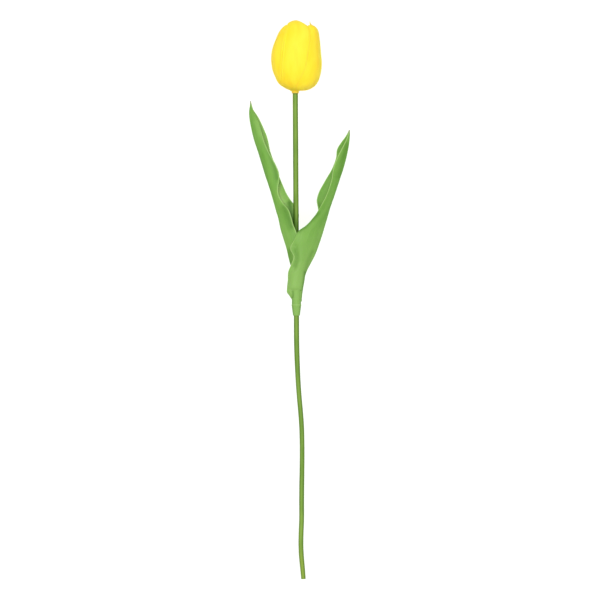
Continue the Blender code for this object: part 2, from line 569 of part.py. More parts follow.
def make_bloom():
    """Make the bloom: six petals fused to a core with the neck and the stem's socket."""
    place = bloom_frame()
    along = (place.to_3x3() @ Vector((0, 0, 1))).normalized()
    neck = stem_point(BLOOM_BASE_Y - NECK_LENGTH)
    socket_end = NECK_LENGTH + SOCKET_DEPTH
    outside = [(radius * MM, NECK_LENGTH + height * MM) for radius, height in CORE_PROFILE]
    core_end = outside[-1][1]
    socket = [(0, socket_end), (SLEEVE_BORE_RADIUS, socket_end), (SLEEVE_BORE_RADIUS, 0)]
    bloom = turned("bloom", socket + outside + [(0, core_end)], neck, neck + along, "petal_yellow")
    petals = []
    for name, direction, petal_profile, left, right in PETALS:
        point = POINT_LENGTH if name == "right" else 0.0
        lift_start = COVERED_LIFT_START if name == "left" else LIFT_START
        surface = petal_surface(direction, petal_profile, left, right, point, lift_start)
        petal = blade(name, surface, PETAL_THICKNESS, "petal_yellow")
        petal.data.transform(place)
        petals.append(petal)
    fuse(bloom, petals)
    bm = bmesh.new()
    bmesh.ops.create_cube(bm, size=1.0)
    bmesh.ops.scale(bm, vec=SURFACE_CUTTER_SIZE, verts=bm.verts)
    middle = (BLOOM_AXIS_X, BLOOM_WIDEST_Y, -SURFACE_CUTTER_SIZE[2] / 2)
    bmesh.ops.translate(bm, vec=middle, verts=bm.verts)
    mesh = bpy.data.meshes.new("surface_cutter")
    bm.to_mesh(mesh)
    bm.free()
    cut_away(bloom, new_object("surface_cutter", mesh, "petal_yellow", shaded_smooth=False))


clear_scene()
make_stem()
make_outer_leaf()
make_inner_leaf()
make_bloom()
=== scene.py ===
"""Dress the artificial tulip: its stem, its sleeve of two leaves and its closed yellow bloom.

The flower lies on a pale floor and the camera looks straight down on it. Frame: +Y runs up the
flower from the cut end of the stem to the petals, +Z is up, +X is to the right in the picture.
Blender's unit is the metre. Shapes are worked out in millimetres and turned into metres when
their meshes are made.
"""

import logging
import math
from collections.abc import Sequence
from dataclasses import dataclass, field
from enum import Enum
from typing import Optional, Union

import bpy
import numpy as np
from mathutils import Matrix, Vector
from numpy.typing import ArrayLike


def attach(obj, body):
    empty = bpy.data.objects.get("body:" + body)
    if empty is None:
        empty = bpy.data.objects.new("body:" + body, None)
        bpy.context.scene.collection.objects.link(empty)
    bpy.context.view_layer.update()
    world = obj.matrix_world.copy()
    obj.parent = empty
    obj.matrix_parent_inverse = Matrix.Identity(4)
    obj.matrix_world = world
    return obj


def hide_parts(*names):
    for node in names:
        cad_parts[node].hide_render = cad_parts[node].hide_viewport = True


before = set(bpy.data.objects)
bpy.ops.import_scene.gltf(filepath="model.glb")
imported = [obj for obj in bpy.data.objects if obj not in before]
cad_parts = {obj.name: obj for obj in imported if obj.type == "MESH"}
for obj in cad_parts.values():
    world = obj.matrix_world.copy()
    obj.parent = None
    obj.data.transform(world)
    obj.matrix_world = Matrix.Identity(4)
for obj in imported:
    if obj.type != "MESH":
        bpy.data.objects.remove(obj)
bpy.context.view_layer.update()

MM = 0.001
LOG = logging.getLogger("tulip")

# Fine ends take at most this share of a row of points
FINE_SHARE = 0.12
# A distance in mm that is beyond every margin's colour
FAR_FROM_MARGIN = 5.0
# The least length that a direction is divided by
LEAST_LENGTH = 1e-9

# Points in a plane, a place in space, a linear colour, a short row of numbers and a node's input
Pairs = list[tuple[float, float]]
Place = tuple[float, float, float]
Colour = tuple[float, float, float]
Span = tuple[float, ...]
Input = Union[bpy.types.NodeSocket, float, tuple[float, ...]]


class Slot(Enum):
    """The material slots that the pieces take their finish from."""

    STEM = "stem_coating"
    WIRE = "stem_wire"
    LEAF = "leaf_plastic"
    PETAL = "petal_plastic"


class Rail(Enum):
    """The five lines that carry a leaf's blade, in order across it."""

    NEAR_EDGE = "near_edge"
    NEAR_SHOULDER = "near_shoulder"
    BACK = "back"
    FAR_SHOULDER = "far_shoulder"
    FAR_EDGE = "far_edge"


class Half(Enum):
    """The half of a leaf's blade that a soft line lies on."""

    NEAR = "near"
    FAR = "far"
    BOTH = "both"


def smooth(knots: ArrayLike, values: ArrayLike, at: ArrayLike, fullness: float = 1.0) -> np.ndarray:
    """Read a smooth curve through values, given at the knots.

    Args:
        knots: rising places of the known values.
        values: the known values.
        at: the places asked for; beyond the knots the end values hold.
        fullness: above 1 makes the curve bulge more between the knots.

    Returns:
        The curve's value at each place.
    """
    knots = np.asarray(knots, float)
    values = np.asarray(values, float)
    slopes = np.gradient(values, knots, edge_order=2) * fullness
    at = np.clip(np.asarray(at, float), knots[0], knots[-1])
    left = np.clip(np.searchsorted(knots, at, side="right") - 1, 0, len(knots) - 2)
    step = knots[left + 1] - knots[left]
    t = (at - knots[left]) / step
    return (
        values[left] * (1 + 2 * t) * (1 - t) ** 2
        + slopes[left] * step * t * (1 - t) ** 2
        + values[left + 1] * t**2 * (3 - 2 * t)
        + slopes[left + 1] * step * t**2 * (t - 1)
    )


def ease(low: float, high: float, at: ArrayLike) -> np.ndarray:
    """Rise smoothly from 0 at the low place to 1 at the high one.

    Args:
        low: where the rise begins.
        high: where it ends, which may lie below the low place for a fall.
        at: the places asked for.

    Returns:
        A share between 0 and 1 for each place.
    """
    t = np.clip((np.asarray(at, float) - low) / (high - low), 0, 1)
    return t * t * (3 - 2 * t)


def steps_with_fine_ends(length: float, count: int, fine: Span) -> np.ndarray:
    """Space places along a length so that both ends have a few places close together.

    Args:
        length: the whole length.
        count: how many places lie between the two fine ends.
        fine: distances from each end of the close places, rising.

    Returns:
        The rising places, from nothing to the length.
    """
    near = np.minimum(fine, length * np.linspace(0, FINE_SHARE, len(fine)))
    middle = near[-1] + (length - 2 * near[-1]) * np.linspace(0, 1, count + 2)[1:-1]
    return np.concatenate([near, middle, length - near[::-1]])


def running_total(steps: np.ndarray, axis: int = 0) -> np.ndarray:
    """Add up steps one after the other.

    Args:
        steps: the steps.
        axis: which way they follow each other in the array.

    Returns:
        Nothing, and then the total after each step.
    """
    start = np.zeros_like(np.take(steps, [0], axis=axis))
    return np.concatenate([start, np.cumsum(steps, axis=axis)], axis=axis)


def circle(right: np.ndarray, up: np.ndarray, sides: int) -> np.ndarray:
    """Lay out directions all the way round.

    Args:
        right: the first direction.
        up: the one a quarter of a turn further.
        sides: how many there are.

    Returns:
        One row for each direction.
    """
    turn = np.linspace(0, math.tau, sides, endpoint=False)[:, None]
    return np.cos(turn) * right + np.sin(turn) * up


def band(one: np.ndarray, other: np.ndarray) -> list[list[int]]:
    """List the faces between two rings of points.

    Args:
        one: the point numbers of the first ring, in order round it.
        other: the point numbers of the second ring.

    Returns:
        One face with four corners for each side of the rings.
    """
    return np.stack([one, np.roll(one, -1), np.roll(other, -1), other], axis=1).tolist()


@dataclass(frozen=True)
class Course:
    """The middle line of the stem, which the sleeve and the bloom are threaded on, in mm.

    The bends are (y, x) points. Its height rises evenly from the cut end to the bloom's widest place.
    """

    foot_y: float = -238.6
    foot_height: float = 1.95
    bloom_radius: float = 21.3
    flat_spot: float = 0.3
    bloom_widest_y: float = 204.0
    bends: Pairs = field(
        default_factory=lambda: [
            (-238.6, 3.3), (-229.9, 2.55), (-219.7, 1.6), (-209.5, 1.15), (-199.3, 1.3), (-189.1, 1.7),
            (-170.0, 1.75), (-158.0, 1.85), (-145.0, 2.05), (-120.0, 2.05), (-107.5, 1.65), (-95.0, 0.75),
            (-82.0, -0.4), (-68.0, -1.35), (-54.0, -2.0), (-38.0, -2.5), (-20.0, -2.65), (0.0, -2.7),
            (20.0, -2.75), (50.0, -2.9), (90.0, -3.15), (135.0, -3.4), (165.0, -3.6), (187.0, -3.7),
        ]
    )

    @property
    def slope(self) -> float:
        """How much the line rises for each millimetre along +Y."""
        rise = self.bloom_radius - self.flat_spot - self.foot_height
        return rise / (self.bloom_widest_y - self.foot_y)

    def points(self, y: ArrayLike) -> np.ndarray:
        """Find the line's points.

        Args:
            y: the places along +Y, in mm.

        Returns:
            One (x, y, z) row for each place, in mm.
        """
        y = np.atleast_1d(np.asarray(y, float))
        places, sideways = zip(*self.bends)
        x = smooth(places, sideways, y)
        z = self.foot_height + self.slope * (y - self.foot_y)
        return np.stack([x, y, z], axis=1)


COURSE = Course()

# The spread of the side petals' outer margins and the lower petal's margins, between their ends
SIDE_SPREAD: Pairs = [(4.0, 49), (9.0, 41), (15.0, 36), (25.0, 35), (40.0, 35.5)]


def make_piece(
    name: str, points: np.ndarray, faces: list[Sequence[int]], marks: dict[str, np.ndarray]
) -> bpy.types.Object:
    """Make a mesh object from points and faces, and link it into the scene.

    Args:
        name: the piece's name.
        points: one (x, y, z) row for each point, in mm.
        faces: the point numbers of each face.
        marks: values at the points that the materials read, by name.

    Returns:
        The object, shaded smooth, at the origin.
    """
    mesh = bpy.data.meshes.new(name)
    mesh.from_pydata((np.asarray(points) * MM).tolist(), [], faces)
    mesh.validate()
    for mark, values in marks.items():
        layer = mesh.attributes.new(mark, "FLOAT", "POINT")
        layer.data.foreach_set("value", np.asarray(values, np.float32).ravel())
    mesh.shade_smooth()
    piece = bpy.data.objects.new(name, mesh)
    bpy.context.scene.collection.objects.link(piece)
    return piece


def settle(piece: bpy.types.Object) -> None:
    """Turn a piece's modifiers into its own mesh.

    Args:
        piece: the piece, which keeps its name.
    """
    ready = piece.evaluated_get(bpy.context.evaluated_depsgraph_get())
    mesh = bpy.data.meshes.new_from_object(ready)
    mesh.name = piece.name
    piece.modifiers.clear()
    piece.data = mesh


def unite(piece: bpy.types.Object, other: bpy.types.Object) -> None:
    """Join another object into a piece by a Boolean union and remove it.

    Args:
        piece: the piece that stays.
        other: the object that it takes in.
    """
    join = piece.modifiers.new("join", "BOOLEAN")
    join.operation = "UNION"
    join.solver = "EXACT"
    join.object = other
    settle(piece)
    bpy.data.objects.remove(other, do_unlink=True)


@dataclass
class Shell:
    """A middle surface with a thickness, which closes into one solid with round margins.

    The surface is a grid of points, rows by columns, in mm. The proud value moves both faces
    outwards along the normals. The rim is the thickness at the margins, where it is thinner than
    the rest, and it grows to the full thickness over the taper's length.
    """

    surface: np.ndarray
    thickness: float
    proud: float = 0.0
    relief: Optional[np.ndarray] = None
    rim: Optional[float] = None
    taper: float = 5.0

    def normals(self) -> np.ndarray:
        """Work out which way the surface faces.

        Returns:
            The unit normal at each point of the grid.
        """
        along = np.gradient(self.surface, axis=0)
        across = np.gradient(self.surface, axis=1)
        normals = np.cross(across, along)
        return normals / np.maximum(np.linalg.norm(normals, axis=2, keepdims=True), LEAST_LENGTH)

    def distances(self) -> tuple[np.ndarray, np.ndarray]:
        """Measure how far each point is from the side margins and from the two ends.

        Returns:
            The distance to the nearer side margin and to the nearer end, in mm.
        """
        across = running_total(np.linalg.norm(np.diff(self.surface, axis=1), axis=2), axis=1)
        along = running_total(np.linalg.norm(np.diff(self.surface, axis=0), axis=2), axis=0)
        side = np.minimum(across, across[:, -1:] - across)
        end = np.minimum(along, along[-1:] - along)
        return side, end

    def half_thickness(self) -> np.ndarray:
        """Work out the thickness, which falls to nothing in a round margin.

        Returns:
            Half the thickness at each point of the grid, in mm.
        """
        nearest = np.minimum(*self.distances())
        rim = self.thickness if self.rim is None else self.rim
        thickness = rim + (self.thickness - rim) * ease(0, self.taper, nearest)
        near = np.clip(nearest / (rim / 2), 0, 1)
        return thickness / 2 * np.sqrt(1 - (1 - near) ** 2)

    def build(self, name: str, marks: dict[str, np.ndarray]) -> bpy.types.Object:
        """Close the shell into a piece.

        Args:
            name: the piece's name.
            marks: values on the grid that the materials read, by name.

        Returns:
            The piece.
        """
        rows, columns = self.surface.shape[:2]
        normals = self.normals()
        half = self.half_thickness()
        out = self.proud if self.relief is None else self.proud + self.relief
        middle = self.surface + normals * (np.ones((rows, columns)) * out)[..., None]
        upper = middle + normals * half[..., None]
        lower = middle - normals * half[..., None]
        number = np.arange(rows * columns).reshape(rows, columns)
        inside = np.full((rows, columns), False)
        inside[1:-1, 1:-1] = True
        below = number.copy()
        below[inside] = rows * columns + np.arange(inside.sum())
        points = np.concatenate([upper.reshape(-1, 3), lower[inside]])
        top = np.stack([number[:-1, :-1], number[:-1, 1:], number[1:, 1:], number[1:, :-1]], axis=-1)
        under = np.stack([below[:-1, :-1], below[1:, :-1], below[1:, 1:], below[:-1, 1:]], axis=-1)
        faces = top.reshape(-1, 4).tolist() + under.reshape(-1, 4).tolist()
        values = {mark: np.concatenate([grid.ravel(), grid[inside]]) for mark, grid in marks.items()}
        return make_piece(name, points, faces, values)


class Mixer:
    """Builds one node material round a Principled shader."""

    # Most of a noise pattern's values lie in this span
    NOISE_SPAN: Span = (0.3, 0.7)

    def __init__(self, name: str) -> None:
        """Start the material.

        Args:
            name: the material's name.
        """
        self.material = bpy.data.materials.new(name)
        self.material.use_nodes = True
        self.tree = self.material.node_tree
        self.shader = self.tree.nodes["Principled BSDF"]

    def add(
        self, kind: str, inputs: Optional[dict[Union[str, int], Input]] = None, **settings: str
    ) -> bpy.types.Node:
        """Add a node.

        Args:
            kind: the node's type name.
            inputs: sockets to link from, or values to set, by input name or number.
            settings: properties of the node.

        Returns:
            The node.
        """
        node = self.tree.nodes.new(kind)
        for name, value in settings.items():
            setattr(node, name, value)
        for name, value in (inputs or {}).items():
            self.feed(node.inputs[name], value)
        return node

    def feed(self, socket: bpy.types.NodeSocket, value: Input) -> None:
        """Link an input to a socket, or set it to a value.

        Args:
            socket: the input.
            value: the socket to link from, or the value.
        """
        if isinstance(value, bpy.types.NodeSocket):
            self.tree.links.new(value, socket)
        else:
            socket.default_value = value

    def mark(self, name: str) -> bpy.types.NodeSocket:
        """Read one of the values that the mesh holds at its points."""
        return self.add("ShaderNodeAttribute", attribute_name=name).outputs["Fac"]

    def combine(self, operation: str, one: Input, other: Input) -> bpy.types.NodeSocket:
        """Combine two numbers.

        Args:
            operation: the name of the operation, such as MULTIPLY.
            one: a socket or a number.
            other: a socket or a number.

        Returns:
            The result's socket.
        """
        return self.add("ShaderNodeMath", {0: one, 1: other}, operation=operation).outputs[0]

    def product(self, one: Input, other: Input) -> bpy.types.NodeSocket:
        """Multiply two numbers."""
        return self.combine("MULTIPLY", one, other)

    def span(
        self, value: Input, low: float, high: float, to_low: float = 0.0, to_high: float = 1.0
    ) -> bpy.types.NodeSocket:
        """Map a number from one span to another, smoothly and held at the ends.

        Args:
            value: the socket to map.
            low: the start of the span that is read.
            high: its end.
            to_low: the result at the start.
            to_high: the result at the end.

        Returns:
            The result's socket.
        """
        inputs = {"Value": value, "From Min": low, "From Max": high, "To Min": to_low, "To Max": to_high}
        return self.add("ShaderNodeMapRange", inputs, interpolation_type="SMOOTHSTEP").outputs[0]

    def grain(self, x: Input, y: Input, z: Input, detail: float) -> bpy.types.NodeSocket:
        """Read noise at a place given by three numbers.

        Args:
            x: the place across the piece.
            y: the place along it.
            z: the third place.
            detail: how many finer layers the noise has.

        Returns:
            A number about 0.5.
        """
        place = self.add("ShaderNodeCombineXYZ", {0: x, 1: y, 2: z}).outputs[0]
        inputs = {"Vector": place, "Scale": 1.0, "Detail": detail, "Roughness": 0.5}
        return self.add("ShaderNodeTexNoise", inputs).outputs["Fac"]

    def blend(self, share: Input, one: Input, other: Input) -> bpy.types.NodeSocket:
        """Mix two colours.

        Args:
            share: how much of the second colour, as a socket or a number.
            one: the first colour, as a socket or as linear RGB.
            other: the second colour.

        Returns:
            The mixed colour's socket.
        """
        node = self.add("ShaderNodeMix", data_type="RGBA")
        sockets = [s for s in node.inputs if s.enabled]
        for socket, value in zip(sockets, (share, one, other)):
            whole = (*value, 1.0) if isinstance(value, tuple) else value
            self.feed(socket, whole)
        return [s for s in node.outputs if s.enabled][0]

    def bump(self, height: Input, depth: float) -> None:
        """Give the shader a fine relief.

        Args:
            height: the relief's height as a share, as a socket.
            depth: the full depth in mm.
        """
        inputs = {"Height": height, "Distance": depth * MM, "Strength": 1.0}
        self.feed(self.shader.inputs["Normal"], self.add("ShaderNodeBump", inputs).outputs[0])

    def roughen(self, pattern: Input, roughness: float, changes: Span) -> None:
        """Let the shader's roughness follow a noise pattern.

        Args:
            pattern: the pattern's socket.
            roughness: the finish's own roughness.
            changes: what is added to it at the low and at the high end of the pattern.
        """
        ends = (roughness + change for change in changes)
        self.set(Roughness=self.span(pattern, *self.NOISE_SPAN, *ends))

    def set(self, **values: Input) -> None:
        """Set or link the shader's own inputs, with _ for a space in their names."""
        for name, value in values.items():
            self.feed(self.shader.inputs[name.replace("_", " ")], value)


@dataclass(frozen=True)
class Weave:
    """A noise pattern that is drawn out along a piece.

    The across and along values say how fine it is against the marks that place it on the piece.
    The third value sets one pattern apart from another.
    """

    across: float
    along: float
    third: float = 0.0
    detail: float = 3.0

    def read(
        self, mixer: Mixer, side: Input, height: Input, third: Optional[Input] = None
    ) -> bpy.types.NodeSocket:
        """Read the pattern in a material.

        Args:
            mixer: the material's mixer.
            side: the mark of the place across the piece.
            height: the mark of the place along it.
            third: a mark that takes the third value's place.

        Returns:
            A number about 0.5.
        """
        x = mixer.product(side, self.across)
        y = mixer.product(height, self.along)
        return mixer.grain(x, y, self.third if third is None else third, self.detail)


@dataclass(frozen=True)
class PetalFinish:
    """Soft waxy yellow plastic, warmer towards the foot and the margins.

    In every finish, a span gives the start and the end of what is read, and then the shares that
    come out at them where these are not 0 and 1. A change is added to the roughness.
    """

    body: Colour = (0.985, 0.715, 0.040)
    shade: Colour = (0.98, 0.64, 0.022)
    blush: Colour = (0.90, 0.50, 0.020)
    foot: Colour = (0.97, 0.67, 0.016)
    rim: Colour = (0.95, 0.60, 0.050)
    light: Colour = (0.96, 0.90, 0.095)
    point: Colour = (0.44, 0.34, 0.10)
    roughness: float = 0.55
    roughness_changes: Span = (-0.05, 0.06)
    gloss: float = 0.1
    glow: float = 0.45
    glow_depth: float = 2.0
    glow_reach: Colour = (1.0, 0.7, 0.15)
    vein_depth: float = 0.04
    clouds: Weave = Weave(2.2, 3.4)
    streaks: Weave = Weave(16.0, 1.6)
    veins: Weave = Weave(62.0, 3.0, detail=2.0)
    cloud_span: Span = (0.35, 0.75)
    streak_span: Span = (0.45, 0.8, 0.0, 0.45)
    blush_heights: Span = (0.26, 0.10)
    blush_clouds: Span = (0.45, 0.62)
    blush_share: float = 0.35
    foot_heights: Span = (0.16, 0.02, 0.0, 0.8)
    rim_width: Span = (1.6, 0.0, 0.0, 0.5)

    def material(self) -> bpy.types.Material:
        """Build the node material.

        Returns:
            The material.
        """
        mixer = Mixer(Slot.PETAL.value)
        side = mixer.mark("side")
        height = mixer.mark("height")
        turn = mixer.mark("seed")
        clouds = self.clouds.read(mixer, side, height, turn)
        streaks = self.streaks.read(mixer, side, height, turn)
        veins = self.veins.read(mixer, side, height, turn)
        tint = mixer.blend(mixer.span(clouds, *self.cloud_span), self.body, self.shade)
        tint = mixer.blend(mixer.span(streaks, *self.streak_span), tint, self.shade)
        low = mixer.span(height, *self.blush_heights)
        blush = mixer.product(low, mixer.span(clouds, *self.blush_clouds))
        tint = mixer.blend(mixer.product(blush, self.blush_share), tint, self.blush)
        tint = mixer.blend(mixer.span(height, *self.foot_heights), tint, self.foot)
        tint = mixer.blend(mixer.span(mixer.mark("margin"), *self.rim_width), tint, self.rim)
        # The light mark is painted light and the warm mark painted shade from the tinges, with the core's
        # own warmth; the point darkens the spike's tip and the neck, with a painted shadow at the neck's end
        for mark, colour in (("light", self.light), ("warm", self.blush), ("point", self.point)):
            tint = mixer.blend(mixer.mark(mark), tint, colour)
        mixer.roughen(veins, self.roughness, self.roughness_changes)
        mixer.set(Base_Color=tint, Specular_IOR_Level=self.gloss)
        mixer.set(Subsurface_Weight=self.glow, Subsurface_Scale=self.glow_depth * MM)
        mixer.set(Subsurface_Radius=self.glow_reach)
        mixer.bump(veins, self.vein_depth)
        return mixer.material


@dataclass(frozen=True)
class LeafFinish:
    """Soft green plastic with fine lengthwise veins, paler at the margins and in the sleeve."""

    body: Colour = (0.171, 0.362, 0.066)
    deep: Colour = (0.126, 0.297, 0.047)
    sleeve: Colour = (0.236, 0.420, 0.104)
    shade: Colour = (0.032, 0.125, 0.004)
    tip: Colour = (0.27, 0.25, 0.17)
    margin: Colour = (0.34, 0.53, 0.17)
    roughness: float = 0.42
    roughness_changes: Span = (-0.04, 0.06)
    gloss: float = 0.06
    glow: float = 0.12
    glow_depth: float = 1.0
    glow_reach: Colour = (0.5, 1.0, 0.2)
    vein_depth: float = 0.06
    clouds: Weave = Weave(3.0, 5.0, third=0.3)
    veins: Weave = Weave(70.0, 4.0, third=0.7, detail=2.0)
    cloud_span: Span = (0.35, 0.7)
    streak_span: Span = (0.5, 0.75, 0.0, 0.35)
    margin_width: Span = (0.8, 0.15, 0.0, 0.75)
    tip_heights: Span = (0.96, 0.99, 0.0, 0.7)

    def material(self) -> bpy.types.Material:
        """Build the node material.

        Returns:
            The material.
        """
        mixer = Mixer(Slot.LEAF.value)
        side = mixer.mark("side")
        height = mixer.mark("height")
        pale = mixer.mark("pale")
        clouds = self.clouds.read(mixer, side, height)
        veins = self.veins.read(mixer, side, height)
        tint = mixer.blend(mixer.span(clouds, *self.cloud_span), self.body, self.deep)
        tint = mixer.blend(mixer.span(veins, *self.streak_span), tint, self.sleeve)
        tint = mixer.blend(pale, tint, self.sleeve)
        # Where the pale mark goes beyond 1 it is painted light, up to the margin's colour
        tint = mixer.blend(mixer.combine("SUBTRACT", pale, 1.0), tint, self.margin)
        # Painted shade from the leaf's shades and from the collar's sides
        tint = mixer.blend(mixer.mark("shade"), tint, self.shade)
        tint = mixer.blend(mixer.span(mixer.mark("margin"), *self.margin_width), tint, self.margin)
        tint = mixer.blend(mixer.span(height, *self.tip_heights), tint, self.tip)
        mixer.roughen(veins, self.roughness, self.roughness_changes)
        mixer.set(Base_Color=tint, Specular_IOR_Level=self.gloss)
        mixer.set(Subsurface_Weight=self.glow, Subsurface_Scale=self.glow_depth * MM)
        mixer.set(Subsurface_Radius=self.glow_reach)
        mixer.bump(veins, self.vein_depth)
        return mixer.material


@dataclass(frozen=True)
class StemFinish:
    """Olive green plastic coating with a lengthwise grain and slow changes of shade.

    A run is a distance in mm from the cut end. A flank is 1 on the stem's right side and -1 on its
    left. Both flanks get painted shade, and the stem gets a painted shadow in the V between the
    leaves and just below the bloom's neck.
    """

    body: Colour = (0.175, 0.300, 0.048)
    flank_shade_colour: Colour = (0.085, 0.165, 0.015)
    pale: Colour = (0.240, 0.370, 0.062)
    shade: Colour = (0.026, 0.080, 0.004)
    cut: Colour = (0.300, 0.420, 0.110)
    warm: Colour = (0.235, 0.335, 0.046)
    dull: Colour = (0.120, 0.235, 0.034)
    roughness: float = 0.40
    roughness_changes: Span = (-0.05, 0.07)
    gloss: float = 0.08
    grain_depth: float = 0.04
    grain: Weave = Weave(9.0, 0.05, third=0.2)
    slow: Weave = Weave(1.0, 0.03, third=0.9, detail=2.0)
    grain_span: Span = (0.4, 0.7)
    slow_span: Span = (0.45, 0.7, 0.0, 0.6)
    dull_start_run: Span = (120.0, 175.0)
    dull_end_run: Span = (300.0, 270.0)
    dull_share: float = 0.3
    warm_run: Span = (38.0, 12.0, 0.0, 0.7)
    right_flank_shade: Span = (0.05, 1.0, 0.0, 0.85)
    left_flank_shade: Span = (-0.2, -1.0, 0.0, 0.65)
    sleeve_run: Span = (250.0, 265.0, 0.0, 0.85)
    inside_run: Span = (318.0, 294.0)
    beside_run: Span = (334.0, 306.0)
    beside_flank: Span = (0.2, -0.7)
    neck_shadow_run: Span = (411.5, 413.2, 0.0, 0.6)

    def material(self) -> bpy.types.Material:
        """Build the node material.

        Returns:
            The material.
        """
        mixer = Mixer(Slot.STEM.value)
        turn = mixer.mark("turn")
        run = mixer.mark("run")
        grain = self.grain.read(mixer, turn, run)
        slow = self.slow.read(mixer, turn, run)
        tint = mixer.blend(mixer.span(grain, *self.grain_span), self.body, self.dull)
        tint = mixer.blend(mixer.span(slow, *self.slow_span), tint, self.pale)
        duller = mixer.span(run, *self.dull_start_run)
        duller = mixer.product(duller, mixer.span(run, *self.dull_end_run))
        tint = mixer.blend(mixer.product(duller, self.dull_share), tint, self.dull)
        tint = mixer.blend(mixer.span(run, *self.warm_run), tint, self.warm)
        # Painted shade on both flanks of the stem
        flank = mixer.combine("COSINE", mixer.product(turn, math.tau), 0.0)
        for span in (self.right_flank_shade, self.left_flank_shade):
            tint = mixer.blend(mixer.span(flank, *span), tint, self.flank_shade_colour)
        # Painted shadow on the stem where it lies in the V between the leaves, stronger on the side by the
        # left leaf, and kept off the stem below the sleeve
        beside = mixer.span(run, *self.beside_run)
        beside = mixer.product(beside, mixer.span(flank, *self.beside_flank))
        above_foot = mixer.span(run, *self.sleeve_run)
        for shadowed in (beside, mixer.span(run, *self.inside_run)):
            tint = mixer.blend(mixer.product(shadowed, above_foot), tint, self.shade)
        # Painted shadow on the stem just below the bloom's neck
        tint = mixer.blend(mixer.span(run, *self.neck_shadow_run), tint, self.shade)
        tint = mixer.blend(mixer.mark("cut"), tint, self.cut)
        mixer.roughen(grain, self.roughness, self.roughness_changes)
        mixer.set(Base_Color=tint, Specular_IOR_Level=self.gloss)
        mixer.bump(grain, self.grain_depth)
        return mixer.material


@dataclass(frozen=True)
class WireFinish:
    """Drawn steel, with lengthwise draw marks and a dull cut end."""

    bright: Colour = (0.56, 0.57, 0.58)
    dull: Colour = (0.36, 0.36, 0.35)
    roughness: float = 0.34
    roughness_changes: Span = (0.0, 0.15)
    mark_depth: float = 0.01
    marks: Weave = Weave(14.0, 1.0, third=0.5)
    dull_span: Span = (0.35, 0.7)

    def material(self) -> bpy.types.Material:
        """Build the node material.

        Returns:
            The material.
        """
        mixer = Mixer(Slot.WIRE.value)
        marks = self.marks.read(mixer, mixer.mark("turn"), mixer.mark("run"))
        tint = mixer.blend(mixer.span(marks, *self.dull_span), self.bright, self.dull)
        mixer.roughen(marks, self.roughness, self.roughness_changes)
        mixer.set(Base_Color=tint, Metallic=1.0)
        mixer.bump(marks, self.mark_depth)
        return mixer.material


@dataclass(frozen=True)
class FloorFinish:
    """A plain white table with a very faint grain."""

    body: Colour = (0.93, 0.93, 0.93)
    shade: Colour = (0.91, 0.91, 0.91)
    roughness: float = 0.8
    gloss: float = 0.1
    grains_per_metre: float = 30.0

    def material(self) -> bpy.types.Material:
        """Build the node material.

        Returns:
            The material.
        """
        mixer = Mixer("floor_white")
        place = mixer.add("ShaderNodeTexCoord").outputs["Object"]
        inputs = {"Vector": place, "Scale": self.grains_per_metre}
        noise = mixer.add("ShaderNodeTexNoise", inputs).outputs["Fac"]
        mixer.set(Base_Color=mixer.blend(noise, self.body, self.shade), Roughness=self.roughness)
        mixer.set(Specular_IOR_Level=self.gloss)
        return mixer.material


